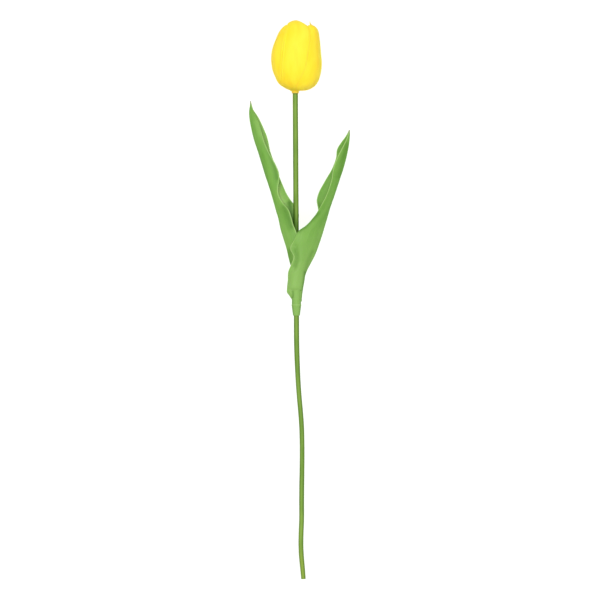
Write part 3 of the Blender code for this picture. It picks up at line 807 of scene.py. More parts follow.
@dataclass
class Stem:
    """The long stem: a plastic coat, hollow from end to end, on a steel wire. Sizes in mm.

    The girth gives the coat's radius by the place along +Y. Each swell is a soft unevenness of the
    coat: its height, how fast it turns along the stem, and how many waves it has round it. The swell
    room is what the radius gives up for them.
    """

    top_y: float = 184.8
    girth: Pairs = field(
        default_factory=lambda: [
            (-238.6, 1.95), (-228.0, 2.06), (-215.0, 2.1), (-165.0, 2.14), (-145.0, 2.1), (-110.0, 2.08),
            (-85.0, 2.1), (-50.0, 2.22), (-30.0, 2.28), (-10.0, 2.3), (50.0, 2.3), (120.0, 2.3),
            (187.0, 2.3),
        ]
    )
    swells: tuple[Place, ...] = ((0.02, 0.11, 2.0), (0.015, 0.043, -3.0))
    bore_radius: float = 1.1
    wire_radius: float = 0.8
    sides: int = 40
    wire_sides: int = 24
    spacing: float = 1.5
    wire_spacing: float = 3.0
    bore_spacing: float = 12.0
    cut_round: float = 0.18
    wire_round: float = 0.09
    fine_shares: Span = (0.0, 0.15, 0.5, 1.0)
    tangent_reach: float = 0.5
    rib_height: float = 0.018
    rib_count: int = 7
    rib_twist: float = 0.01
    swell_room: float = 0.02

    def rings(self, places: np.ndarray, radii: np.ndarray, sides: int) -> np.ndarray:
        """Lay rings of points round the stem's middle line.

        Args:
            places: where the rings are, along +Y.
            radii: the radius of each ring, or of each point of each ring.
            sides: how many points a ring has.

        Returns:
            A grid of points, rings by sides.
        """
        middle = COURSE.points(places)
        tangent = COURSE.points(places + self.tangent_reach) - COURSE.points(places - self.tangent_reach)
        tangent /= np.linalg.norm(tangent, axis=1, keepdims=True)
        right = np.cross(tangent, (0.0, 0.0, 1.0))
        right /= np.linalg.norm(right, axis=1, keepdims=True)
        up = np.cross(right, tangent)
        turn = np.linspace(0, math.tau, sides, endpoint=False)[None, :, None]
        radii = np.broadcast_to(radii, (len(places), sides))
        across = right[:, None, :] * np.cos(turn) + up[:, None, :] * np.sin(turn)
        return middle[:, None, :] + across * radii[..., None]

    def coat_radii(self, places: np.ndarray) -> np.ndarray:
        """Work out the coat's radius, with soft lengthwise ribs and swells.

        Args:
            places: where the rings are, along +Y.

        Returns:
            The radii, rings by sides.
        """
        knots, radii = zip(*self.girth)
        base = smooth(knots, radii, places)[:, None]
        turn = np.linspace(0, math.tau, self.sides, endpoint=False)[None, :]
        along = places[:, None]
        ribs = np.cos(self.rib_count * turn + self.rib_twist * along) * self.rib_height
        uneven = sum(high * np.sin(speed * along + waves * turn) for high, speed, waves in self.swells)
        return base + ribs + uneven - self.rib_height - self.swell_room

    def tube(self, name: str, outside: np.ndarray, bore: Optional[np.ndarray]) -> bpy.types.Object:
        """Close rings of points into a bar, with a bore through it if there is one.

        Args:
            name: the piece's name.
            outside: the outer rings, from the foot up.
            bore: the bore's rings, from the foot up, with as many sides, or None for a solid bar.

        Returns:
            The piece.
        """
        sides = outside.shape[1]
        rings = outside if bore is None else np.concatenate([outside, bore[::-1]])
        number = np.arange(len(rings) * sides).reshape(len(rings), sides)
        follow = number if bore is None else np.concatenate([number, number[:1]])
        faces = []
        for low, high in zip(follow[:-1], follow[1:]):
            faces += band(high, low)
        if bore is None:
            faces += [number[0].tolist(), number[-1][::-1].tolist()]
        turn = np.broadcast_to(np.linspace(0, 1, sides, endpoint=False), (len(rings), sides))
        run = rings[..., 1] - COURSE.foot_y
        at_end = np.ones(len(rings))
        at_end[1:len(outside) - 1] = 0.0
        marks = {"turn": turn, "run": run, "cut": np.broadcast_to(at_end[:, None], turn.shape)}
        return make_piece(name, rings.reshape(-1, 3), faces, marks)

    def rounded(self, places: np.ndarray, edge: float) -> np.ndarray:
        """Work out how much rings shrink near the two cut ends, so that their edges are round.

        Args:
            places: where the rings are, along +Y.
            edge: the radius of the round edge.

        Returns:
            How much smaller each ring's radius is.
        """
        near = np.minimum(places - places[0], places[-1] - places)
        share = np.clip(near / edge, 0, 1)
        return edge * (1 - np.sqrt(1 - (1 - share) ** 2))

    def places(self, spacing: float, edge: float) -> np.ndarray:
        """Space rings from the foot to the top, closer together at the rounded ends.

        Args:
            spacing: how far apart the rings are between the ends.
            edge: the radius of the round edges.

        Returns:
            The rings' places along +Y.
        """
        fine = tuple(share * edge for share in self.fine_shares)
        length = self.top_y - COURSE.foot_y
        count = round(length / spacing)
        return COURSE.foot_y + steps_with_fine_ends(length, count, fine)

    def build(self) -> list[bpy.types.Object]:
        """Build the coat and the wire.

        Returns:
            Both pieces.
        """
        places = self.places(self.spacing, self.cut_round)
        radii = self.coat_radii(places) - self.rounded(places, self.cut_round)[:, None]
        outside = self.rings(places, radii, self.sides)
        bore_rings = round((places[-1] - places[0]) / self.bore_spacing)
        bore_places = np.linspace(places[0], places[-1], bore_rings)
        bore = self.rings(bore_places, np.array(self.bore_radius), self.sides)
        coat = self.tube("stem_coat", outside, bore)
        wire_places = self.places(self.wire_spacing, self.wire_round)
        wire_radii = self.wire_radius - self.rounded(wire_places, self.wire_round)[:, None]
        wire = self.tube("stem_core_wire", self.rings(wire_places, wire_radii, self.wire_sides), None)
        coat.data.materials.append(StemFinish().material())
        wire.data.materials.append(WireFinish().material())
        for piece, node, slot in ((coat, "stem", Slot.STEM), (wire, "stem_wire", Slot.WIRE)):
            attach(piece, "root")
            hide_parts(node)
        return [coat, wire]


@dataclass(frozen=True)
class SoftLine:
    """A soft line on a leaf's blade, which changes its shape or its colour. Sizes in mm.

    The path's points are (x, y) places as they are seen from above. As a crease, the amount is how
    far the line stands out, or goes in where it is below nothing. As a shade, it is how strong the
    painted shade on the line is, or how strong a painted light where it is below nothing.
    """

    path: Pairs
    width: float
    amount: float
    half: Half = Half.BOTH

    def nearness(self, x: np.ndarray, y: np.ndarray) -> np.ndarray:
        """Measure how near places are to the path.

        Args:
            x: the places along X.
            y: the places along Y.

        Returns:
            1 on the path, falling to 0 beyond the line's width.
        """
        nearest = np.full(x.shape, np.inf)
        for (x1, y1), (x2, y2) in zip(self.path[:-1], self.path[1:]):
            run = (x2 - x1) ** 2 + (y2 - y1) ** 2
            share = np.clip(((x - x1) * (x2 - x1) + (y - y1) * (y2 - y1)) / run, 0, 1)
            away = np.hypot(x - x1 - share * (x2 - x1), y - y1 - share * (y2 - y1))
            nearest = np.minimum(nearest, away)
        return np.exp(-((nearest / self.width) ** 2))


@dataclass
class Leaf:
    """One channelled leaf on its ring or collar. Rails are (y, x, z) points in mm.

    The collar is a profile of (radius, run) points, turned round the line through the stem's middle
    at the start and the end place. The wrap says how full the blade's curve is, by the distance from
    its foot. The pale values say how much of the sleeve's colour it has along +Y. The edge highlight
    widths say how wide the near half's pale margin is, against the usual width: the margin is paler
    of itself, and where it is wider it is a painted highlight along the near edge. The far half's
    painted light lightens that half against the near half's shadow. The creases change the shape,
    and the shades paint shade into the colour, or painted light where their amount is below nothing.
    The collar's sides get painted shade, and a pale line at its rim is a painted highlight. The near
    half's span says where on the way across it fades out. The veins rise over the calm spans, away
    from the side margins and from the ends.
    """

    name: str
    node: str
    rails: dict[Rail, list[Place]]
    collar: Pairs
    collar_start_y: float
    collar_end_y: float
    pale: Pairs
    creases: list[SoftLine] = field(default_factory=list)
    shades: list[SoftLine] = field(default_factory=list)
    collar_rim: Optional[float] = None
    rim_highlight_margin: float = 0.25
    collar_pale: float = 0.85
    collar_slack_across: float = 0.03
    collar_slack_along: float = 0.1
    flank_shade: float = 0.3
    flank_span: Span = (0.45, 1.0)
    edge_highlight_widths: Pairs = field(default_factory=lambda: [(0.0, 1.0), (200.0, 1.0)])
    far_painted_light: float = 0.0
    thickness: float = 0.9
    columns: int = 60
    row_spacing: float = 0.7
    fine_rows: Span = (0.0, 0.1, 0.25, 0.5)
    fine_columns: Span = (0.0, 0.06, 0.2, 0.45)
    curve_places: int = 241
    ring_spacing: float = 0.6
    vein_count: int = 13
    vein_height: float = 0.035
    calm_side: Span = (0.5, 4.0)
    calm_end: Span = (0.0, 12.0)
    near_half: Span = (0.55, 0.45)
    palest: float = 2.0
    sharp_degrees: float = 48.0
    wrap: Pairs = field(default_factory=lambda: [(0.0, 1.45), (12.0, 1.35), (30.0, 1.15), (60.0, 1.05)])
    turned_sides: int = 56

    def surface(self) -> np.ndarray:
        """Lay out the blade's middle surface, from its foot to its tip.

        Returns:
            The grid of points.
        """
        foot = self.rails[Rail.BACK][0][0]
        tip = self.rails[Rail.BACK][-1][0]
        rows = round((tip - foot) / self.row_spacing)
        stations = foot + steps_with_fine_ends(tip - foot, rows, self.fine_rows)
        crossings = []
        for rail in Rail:
            y, x, z = np.array(self.rails[rail]).T
            crossings.append(np.stack([smooth(y, x, stations), smooth(y, z, stations)], axis=1))
        crossings = np.stack(crossings, axis=1)
        fullness = smooth(*zip(*self.wrap), stations - foot)
        shares = np.linspace(0, 1, self.curve_places)
        grid = []
        for y, section, full in zip(stations, crossings, fullness):
            chords = np.linalg.norm(np.diff(section, axis=0), axis=1)
            knots = running_total(np.sqrt(chords))
            knots /= knots[-1]
            x = smooth(knots, section[:, 0], shares, full)
            z = smooth(knots, section[:, 1], shares, full)
            run = running_total(np.hypot(np.diff(x), np.diff(z)))
            at = steps_with_fine_ends(run[-1], self.columns, self.fine_columns)
            row = [np.interp(at, run, x), np.full(len(at), y), np.interp(at, run, z)]
            grid.append(np.stack(row, axis=1))
        return np.array(grid)

    def collar_axis(self) -> tuple[np.ndarray, np.ndarray]:
        """Find the line that the collar is turned round.

        Returns:
            The point where the collar starts, in mm, and the direction that its runs are measured in.
        """
        low, high = COURSE.points([self.collar_start_y, self.collar_end_y])
        return low, (high - low) / np.linalg.norm(high - low)

    def turned_collar(self) -> bpy.types.Object:
        """Turn the collar's profile round its line.

        Returns:
            The collar, as an object of its own.
        """
        start, axis = self.collar_axis()
        right = np.cross(axis, (0.0, 0.0, 1.0))
        right /= np.linalg.norm(right)
        around = circle(right, np.cross(right, axis), self.turned_sides)
        profile = self.fine_profile()
        rings = start + profile[:, None, 1:] * axis + profile[:, None, :1] * around[None]
        number = np.arange(rings.shape[0] * rings.shape[1]).reshape(rings.shape[:2])
        faces = []
        for one, other in zip(number, np.roll(number, -1, axis=0)):
            faces += band(one, other)
        return make_piece(self.name + "_collar", rings.reshape(-1, 3), faces, {})

    def mark_collar(self, leaf: bpy.types.Object) -> None:
        """Set what the material reads at the collar's points, once it is in one body with the leaf.

        Args:
            leaf: the leaf with its collar.
        """
        start, axis = self.collar_axis()
        points = np.empty(len(leaf.data.vertices) * 3)
        leaf.data.vertices.foreach_get("co", points)
        away = points.reshape(-1, 3) / MM - start
        run = away @ axis
        across = away - run[:, None] * axis
        distance = np.linalg.norm(across, axis=1)
        bore = min(radius for radius, _ in self.collar)
        radii, runs = zip(*[(radius, along) for radius, along in self.collar if radius > bore])
        on_collar = distance < np.interp(run, runs, radii) + self.collar_slack_across
        on_collar &= run > runs[0] - self.collar_slack_along
        on_collar &= run < runs[-1] + self.collar_slack_along
        zero = np.zeros(len(run))
        # A pale line at the collar's rim is a painted highlight
        margin = zero + FAR_FROM_MARGIN
        if self.collar_rim is not None:
            margin = np.abs(run - self.collar_rim) + self.rim_highlight_margin
        # The collar's sides get painted shade
        sideways = np.abs(across[:, 0]) / np.maximum(distance, LEAST_LENGTH)
        values = {
            "side": np.arctan2(across[:, 0], across[:, 2]) / math.tau + 0.5,
            "height": zero,
            "margin": margin,
            "pale": zero + self.collar_pale,
            "shade": self.flank_shade * ease(*self.flank_span, sideways),
        }
        for mark, value in values.items():
            layer = leaf.data.attributes[mark]
            held = np.empty(len(run))
            layer.data.foreach_get("value", held)
            layer.data.foreach_set("value", np.where(on_collar, value, held))

    def fine_profile(self) -> np.ndarray:
        """Fill the collar's profile up with points, so that they lie close together.

        Returns:
            The profile as (radius, run) rows.
        """
        points = []
        closed = self.collar + self.collar[:1]
        for (r1, y1), (r2, y2) in zip(closed[:-1], closed[1:]):
            steps = max(1, round(math.hypot(r2 - r1, y2 - y1) / self.ring_spacing))
            points += [(r1 + (r2 - r1) * k / steps, y1 + (y2 - y1) * k / steps) for k in range(steps)]
        return np.array(points)

    def near_share(self, columns: int) -> np.ndarray:
        """Return how far each column of the blade belongs to its near half, from 0 to 1."""
        return ease(*self.near_half, np.linspace(0, 1, columns))

    def change(self, line: SoftLine, surface: np.ndarray) -> np.ndarray:
        """Work out how much a soft line changes the blade.

        Args:
            line: the line.
            surface: the grid of points.

        Returns:
            The line's amount at each point.
        """
        near = self.near_share(surface.shape[1])
        share = {Half.NEAR: near, Half.FAR: 1 - near, Half.BOTH: 1.0}[line.half]
        return line.amount * share * line.nearness(surface[..., 0], surface[..., 1])

    def marks(self, surface: np.ndarray, side: np.ndarray) -> dict[str, np.ndarray]:
        """Work out what the leaf's material reads at each point of the blade.

        Args:
            surface: the grid of points.
            side: how far each point is from the nearer side margin.

        Returns:
            The marks, by name.
        """
        rows, columns = side.shape
        near = self.near_share(columns)
        # Shades above nothing are painted shade; those below nothing add painted light to the pale mark
        shade = np.zeros(side.shape)
        for line in self.shades:
            shade += self.change(line, surface)
        # The far half's painted light lightens it against the near half's shadow
        pale = smooth(*zip(*self.pale), surface[..., 1]) + self.far_painted_light * (1 - near)
        # Widths above 1 widen the near half's pale margin into a painted highlight along the edge; the
        # margin's own paleness is the leaf's colour
        width = np.interp(surface[..., 1], *zip(*self.edge_highlight_widths))
        return {
            "side": np.broadcast_to(np.linspace(0, 1, columns), side.shape),
            "height": np.broadcast_to(np.linspace(0, 1, rows)[:, None], side.shape),
            "margin": side / (1 + (width - 1) * near),
            "pale": np.clip(pale - np.minimum(shade, 0), 0, self.palest),
            "shade": np.clip(shade, 0, 1),
        }

    def build(self, finish: bpy.types.Material) -> bpy.types.Object:
        """Build the leaf in one body with its collar.

        Args:
            finish: the leaf material.

        Returns:
            The piece.
        """
        surface = self.surface()
        shell = Shell(surface, self.thickness)
        side, end = shell.distances()
        marks = self.marks(surface, side)
        calm = ease(*self.calm_side, side) * ease(*self.calm_end, end)
        shell.relief = np.cos(math.tau * self.vein_count * marks["side"]) * self.vein_height * calm
        for line in self.creases:
            shell.relief += self.change(line, surface)
        leaf = shell.build(self.name, marks)
        unite(leaf, self.turned_collar())
        self.mark_collar(leaf)
        leaf.data.set_sharp_from_angle(angle=math.radians(self.sharp_degrees))
        leaf.data.materials.clear()
        leaf.data.materials.append(finish)
        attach(leaf, "root")
        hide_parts(self.node)
        return leaf


@dataclass(frozen=True)
class Pleat:
    """A soft lengthwise groove in a petal, or a ridge where the depth is below nothing.

    It lies at a place across the petal and runs from the low to the high place along it. The depth
    is in mm and fades at both ends over the given share of the petal's length.
    """

    side: float
    width: float
    depth: float
    low: float
    high: float
    fade: float = 0.12

    def relief(self, side: np.ndarray, place: np.ndarray) -> np.ndarray:
        """Work out how far the pleat moves the petal's face.

        Args:
            side: each point's place across the petal, from -1 to 1.
            place: each point's place along it, from 0 to 1.

        Returns:
            How far each point moves outwards, in mm.
        """
        groove = np.exp(-(((side - self.side) / self.width) ** 2))
        window = ease(self.low, self.low + self.fade, place) * ease(self.high, self.high - self.fade, place)
        return -self.depth * groove * window


@dataclass(frozen=True)
class Tinge:
    """A soft round place of painted light in a petal's colour, or of painted shade, warmer, where the
    strength is below nothing.
    """

    side: float
    place: float
    side_width: float
    place_width: float
    strength: float

    def share(self, side: np.ndarray, place: np.ndarray) -> np.ndarray:
        """Return how strong the tinge is at each point of the petal."""
        away = ((side - self.side) / self.side_width) ** 2 + ((place - self.place) / self.place_width) ** 2
        return self.strength * np.exp(-away)


@dataclass(frozen=True)
class Margin:
    """One side margin of a petal, by height above the bloom's base.

    The spread is how many degrees the margin lies from the petal's middle, and the lift is how far
    it stands out from the petal's profile, in mm. The crown is the share of the petal's length by
    which the margin falls short of the tip, and the power says how round its shoulder is.
    """

    spread: Pairs
    lift: Pairs
    crown: float
    power: float

    def degrees(self, height: np.ndarray) -> np.ndarray:
        """Return the spread at the given heights."""
        return smooth(*zip(*self.spread), height)

    def stand(self, height: np.ndarray) -> np.ndarray:
        """Return the lift at the given heights."""
        return smooth(*zip(*self.lift), height)


@dataclass
class Petal:
    """One petal of the bloom, in the bloom's own frame. Sizes in mm and degrees.

    The direction is measured round the bloom's axis, from the side away from the floor towards +X.
    The profile's points are (distance from the axis, height), from the foot to the tip. A margin's
    lift starts at the given share of the way to it. The spike is the share of the length by which
    the tip's middle stands out, and the point's values place a darker, browner colour at its tip.
    The tinges are painted light, and painted shade where they are warmer. Each petal reads the
    noise at a place of its own, which moves on by one for each seed turn of its direction.
    """

    name: str
    direction: float
    profile: Pairs
    left: Margin
    right: Margin
    pleats: list[Pleat] = field(default_factory=list)
    tinges: list[Tinge] = field(default_factory=list)
    thickness: float = 0.8
    rim: float = 0.45
    proud: float = 0.15
    lift_start: float = 0.25
    rows: int = 84
    columns: int = 72
    fine_rows: Span = (0.0, 0.05, 0.15, 0.4)
    fine_columns: Span = (0.0, 0.003, 0.012, 0.03)
    spike: float = 0.0
    spike_width: float = 0.25
    point_strength: float = 0.7
    point_side: float = -0.25
    point_width: float = 0.35
    point_places: Span = (0.90, 0.975)
    tip_half_start: float = 0.5
    seed_turn: float = 40.0

    def surface(self) -> tuple[np.ndarray, np.ndarray, np.ndarray]:
        """Lay out the petal's middle surface.

        Returns:
            The grid of points, each point's place across from -1 to 1, and along from 0 to 1.
        """
        profile = np.array(self.profile)
        knots = running_total(np.linalg.norm(np.diff(profile, axis=0), axis=1))
        length = knots[-1]
        knots /= length
        across = steps_with_fine_ends(2.0, self.columns, self.fine_columns) - 1
        sides = ((self.left, -1, np.clip(-across, 0, 1)), (self.right, 1, np.clip(across, 0, 1)))
        reach = 1 - self.spike * (1 - np.exp(-np.abs(across) / self.spike_width))
        for margin, _, part in sides:
            reach -= margin.crown * part**margin.power
        along = steps_with_fine_ends(length, self.rows, self.fine_rows) / length
        place = along[:, None] * reach[None, :]
        radius = smooth(knots, profile[:, 0], place)
        height = smooth(knots, profile[:, 1], place)
        angle = np.full(place.shape, math.radians(self.direction))
        for margin, sign, part in sides:
            angle += sign * part * np.radians(margin.degrees(height))
            radius += margin.stand(height) * ease(self.lift_start, 1.0, part)
        grid = np.stack([radius * np.sin(angle), radius * np.cos(angle), height], axis=-1)
        return grid, np.broadcast_to(across, place.shape), place

    def build(self, placement: np.ndarray, finish: bpy.types.Material) -> bpy.types.Object:
        """Build the petal.

        Args:
            placement: the bloom's frame, as a 4 by 4 matrix in mm.
            finish: the petal material.

        Returns:
            The piece.
        """
        grid, across, place = self.surface()
        relief = np.zeros(place.shape)
        for pleat in self.pleats:
            relief += pleat.relief(across, place)
        grid = grid @ placement[:3, :3].T + placement[:3, 3]
        shell = Shell(grid, self.thickness, self.proud, relief, self.rim)
        side, end = shell.distances()
        margin = np.minimum(side, np.where(place > self.tip_half_start, end, side))
        seed = np.full(place.shape, self.direction / self.seed_turn)
        # Tinges paint light into the colour, or painted shade, warmer, below nothing
        light = np.zeros(place.shape)
        for tinge in self.tinges:
            light += tinge.share(across, place)
        point = self.point_strength * np.exp(-(((across - self.point_side) / self.point_width) ** 2))
        point = point * ease(*self.point_places, place) * (self.spike > 0)
        marks = {"side": across, "height": place, "margin": margin, "seed": seed}
        marks |= {"light": np.clip(light, 0, 1), "warm": np.clip(-light, 0, 1), "point": point}
        petal = shell.build(self.name, marks)
        # The bloom's flat spot lies on the floor
        for vertex in petal.data.vertices:
            vertex.co.z = max(vertex.co.z, 0.0)
        petal.data.materials.append(finish)
        return petal


@dataclass
class Bloom:
    """The closed flower head: six petals round a core with the neck. Sizes in mm.

    The right petal lies over the front one, and the front one over the left one. The core's values
    are what the petals' material reads on it. The neck's tone is the share of the point's darker
    colour all over the core, and the neck end's share adds a painted shadow where the neck meets the
    stem.
    """

    base_y: float = 176.1
    axis_x: float = -2.6
    neck_length: float = 1.6
    socket_depth: float = 9.0
    socket_radius: float = 2.6
    turned_sides: int = 64
    sharp_degrees: float = 40.0
    core_height: float = 0.02
    core_seed: float = 3.3
    core_warmth: float = 0.1
    neck_tone: float = 0.14
    neck_end_shade: float = 0.6
    core_profile: Pairs = field(
        default_factory=lambda: [
            (3.05, -1.6), (3.0, 0.0), (4.0, 0.4), (5.4, 1.6), (5.4, 3.8), (3.9, 6.5), (3.7, 10.6),
        ]
    )

    def placement(self) -> np.ndarray:
        """Work out the bloom's frame: Z along its axis, Y away from the floor.

        Returns:
            A 4 by 4 matrix that takes the bloom's own places to the scene's, in mm.
        """
        place = np.eye(4)
        axis = np.array([0.0, 1.0, COURSE.slope])
        axis /= np.linalg.norm(axis)
        side = np.array([1.0, 0.0, 0.0])
        place[:3, 0] = side
        place[:3, 1] = np.cross(side, axis)
        place[:3, 2] = axis
        place[:3, 3] = (self.axis_x, self.base_y, COURSE.points(self.base_y)[0][2])
        return place

    def front_petal(self) -> Petal:
        """Describe the petal that faces away from the floor.

        Returns:
            The petal.
        """
        profile = [
            (4.4, 1.3), (7.5, 2.2), (11.5, 4.4), (14.6, 7.6), (17.0, 12.0), (18.9, 18.0), (19.8, 24.5),
            (19.9, 31.0), (19.5, 37.5), (18.4, 43.5), (16.6, 48.7), (14.0, 53.0), (11.8, 55.6),
            (9.0, 57.9), (7.0, 58.9), (5.6, 59.3),
        ]
        left = Margin(
            spread=[
                (1.3, 62), (4.8, 61), (8.2, 56), (12.0, 52), (16.3, 48), (24.8, 42.5), (33.3, 39),
                (37.4, 38), (41.6, 38), (46.7, 35.5), (51.3, 34), (55.0, 38), (59.5, 46),
            ],
            lift=[(1.3, 0.3), (20.0, 0.4), (45.0, 0.4), (59.5, 0.0)],
            crown=0.080,
            power=2.2,
        )
        right = Margin(
            spread=[
                (1.3, 30), (8.0, 32), (16.0, 34), (25.0, 37), (33.0, 41), (41.6, 46), (50.0, 53),
                (59.5, 60),
            ],
            lift=[(1.3, 0.0), (10.0, -0.3), (45.0, -0.3), (59.5, 0.0)],
            crown=0.158,
            power=1.3,
        )
        pleats = [
            Pleat(-0.71, 0.030, 0.30, 0.14, 0.80),
            Pleat(-0.785, 0.030, -0.34, 0.14, 0.80),
            Pleat(-0.86, 0.030, 0.32, 0.10, 0.76),
            Pleat(-0.95, 0.035, -0.25, 0.10, 0.70),
            Pleat(-0.30, 0.080, 0.08, 0.05, 0.36),
            Pleat(0.20, 0.090, 0.06, 0.05, 0.34),
        ]
        # Painted light on the right part of the petal and in its middle, and painted shade at the crest
        tinges = [
            Tinge(0.60, 0.80, 0.34, 0.22, 0.35),
            Tinge(0.00, 0.62, 0.60, 0.40, 0.12),
            Tinge(-0.20, 0.97, 0.50, 0.05, -0.25),
        ]
        return Petal("petal_front", -1.0, profile, left, right, pleats, tinges, columns=120)

    def right_petal(self) -> Petal:
        """Describe the petal on the right, with the small curled point.

        Returns:
            The petal.
        """
        profile = [
            (4.4, 0.9), (6.7, 1.1), (8.4, 1.4), (9.9, 1.8), (11.5, 2.5), (13.1, 3.3), (14.7, 4.4),
            (16.4, 6.1), (17.8, 8.3), (19.2, 11.8), (20.2, 15.8), (20.8, 19.6), (21.0, 23.2), (20.8, 27.0),
            (20.3, 32.5), (19.8, 38.5), (19.4, 43.2), (18.9, 47.0), (18.5, 49.6), (17.9, 51.6),
            (16.9, 53.4), (15.4, 54.7), (14.0, 55.5), (13.1, 56.5), (12.8, 57.7), (12.7, 58.9),
        ]
        left = Margin(
            spread=[
                (1.2, 62), (2.5, 63.5), (8.0, 55.3), (13.7, 47), (19.6, 40.4), (24.6, 37.6), (33.0, 33.6),
                (41.5, 28.2), (47.6, 23.7), (53.0, 18), (55.5, 15), (58.2, 15),
            ],
            lift=[
                (1.2, -0.9), (3.0, -1.3), (7.6, -1.7), (12.0, -1.5), (18.0, -1.1), (24.5, -0.5),
                (31.0, -0.2), (40.0, -0.2), (43.5, -0.4), (49.0, -1.3), (52.8, -2.2), (56.0, -1.6),
                (58.9, -1.2),
            ],
            crown=0.02,
            power=1.0,
        )
        right = Margin(
            spread=[(1.2, 56), *SIDE_SPREAD, (50.0, 36), (58.2, 34)],
            lift=[(1.2, -0.3), (10.0, -0.1), (50.0, -0.1), (58.2, -0.1)],
            crown=0.12,
            power=1.0,
        )
        pleats = [
            Pleat(-0.84, 0.05, 0.16, 0.04, 0.32),
            Pleat(-0.62, 0.06, 0.16, 0.04, 0.30),
            Pleat(-0.47, 0.06, -0.12, 0.04, 0.30),
            Pleat(-0.28, 0.08, 0.18, 0.04, 0.28),
            Pleat(0.10, 0.10, 0.14, 0.04, 0.28),
        ]
        # Painted shade near the middle of the foot, and painted light on the petal's right part
        tinges = [Tinge(-0.02, 0.20, 0.08, 0.06, -0.8), Tinge(0.42, 0.50, 0.20, 0.30, 0.45)]
        return Petal("petal_right", 61.0, profile, left, right, pleats, tinges, spike=0.055)

    def left_petal(self) -> Petal:
        """Describe the petal on the left, partly under the front one.

        Returns:
            The petal.
        """
        profile = [
            (4.4, 1.3), (6.6, 1.8), (8.2, 2.4), (9.9, 3.3), (11.6, 4.4), (13.2, 5.4), (15.0, 7.1),
            (16.4, 9.2), (17.4, 11.6), (18.7, 14.6), (19.9, 18.0), (20.6, 22.0), (21.0, 26.4),
            (20.9, 30.4), (20.4, 34.4), (19.4, 38.2), (17.5, 43.2), (14.9, 49.2), (12.4, 52.9), (9.4, 55.8),
        ]
        left = Margin(
            spread=[(1.5, 56), *SIDE_SPREAD, (56.2, 34)],
            lift=[(1.5, -0.3), (10.0, 0.0), (50.0, 0.0), (56.2, 0.0)],
            crown=0.12,
            power=1.6,
        )
        right = Margin(
            spread=[(1.5, 50), (4.0, 46), (9.0, 40), (15.0, 36), (25.0, 35), (40.0, 35.5), (56.2, 34)],
            lift=[(1.5, -0.8), (10.0, -2.0), (18.0, -2.1), (36.0, -2.1), (45.0, -1.7), (56.2, -0.8)],
            crown=0.12,
            power=1.6,
        )
        pleats = [Pleat(-0.25, 0.06, 0.16, 0.10, 0.60), Pleat(0.02, 0.05, 0.16, 0.25, 0.75)]
        return Petal("petal_left", -62.0, profile, left, right, pleats, lift_start=-0.2)

    def lower_petal(self) -> Petal:
        """Describe the petal that the bloom lies on.

        Returns:
            The petal.
        """
        profile = [
            (4.4, 1.1), (6.2, 1.5), (10.0, 2.9), (13.4, 5.0), (16.4, 8.5), (19.0, 14.0), (20.6, 22.0),
            (20.7, 29.0), (20.1, 37.0), (18.2, 44.0), (15.0, 50.0), (11.6, 54.6), (8.8, 57.0),
        ]
        margin = Margin(
            spread=[(1.1, 56), *SIDE_SPREAD, (57.0, 34)],
            lift=[(1.1, -0.4), (10.0, -0.6), (50.0, -0.6), (57.0, -0.3)],
            crown=0.12,
            power=1.8,
        )
        pleats = [
            Pleat(-0.45, 0.08, 0.18, 0.05, 0.40),
            Pleat(0.05, 0.08, 0.15, 0.05, 0.35),
            Pleat(0.50, 0.08, 0.18, 0.05, 0.42),
        ]
        return Petal("petal_lower", 180.0, profile, margin, margin, pleats)

    def inner_petal(self, name: str, direction: float) -> Petal:
        """Describe one of the two petals between the lower petal and those on the sides.

        Args:
            name: the piece's name.
            direction: which way it faces, in degrees.

        Returns:
            The petal.
        """
        profile = [
            (4.4, 2.4), (6.8, 3.1), (10.4, 4.9), (13.6, 7.6), (16.2, 11.8), (18.1, 17.6), (19.2, 24.0),
            (19.4, 30.0), (18.4, 37.0), (15.9, 43.5), (12.8, 49.2), (9.8, 52.8), (7.4, 54.8), (4.8, 56.1),
            (2.8, 56.6),
        ]
        margin = Margin(
            spread=[(2.4, 40), (8.0, 42), (18.0, 45), (40.0, 46), (50.0, 50), (56.2, 60)],
            lift=[(2.4, 0.0), (10.0, -0.4), (50.0, -0.4), (56.2, 0.0)],
            crown=0.10,
            power=2.0,
        )
        pleats = [Pleat(-0.2, 0.08, 0.14, 0.05, 0.45), Pleat(0.3, 0.07, 0.14, 0.05, 0.5)]
        return Petal(name, direction, profile, margin, margin, pleats)

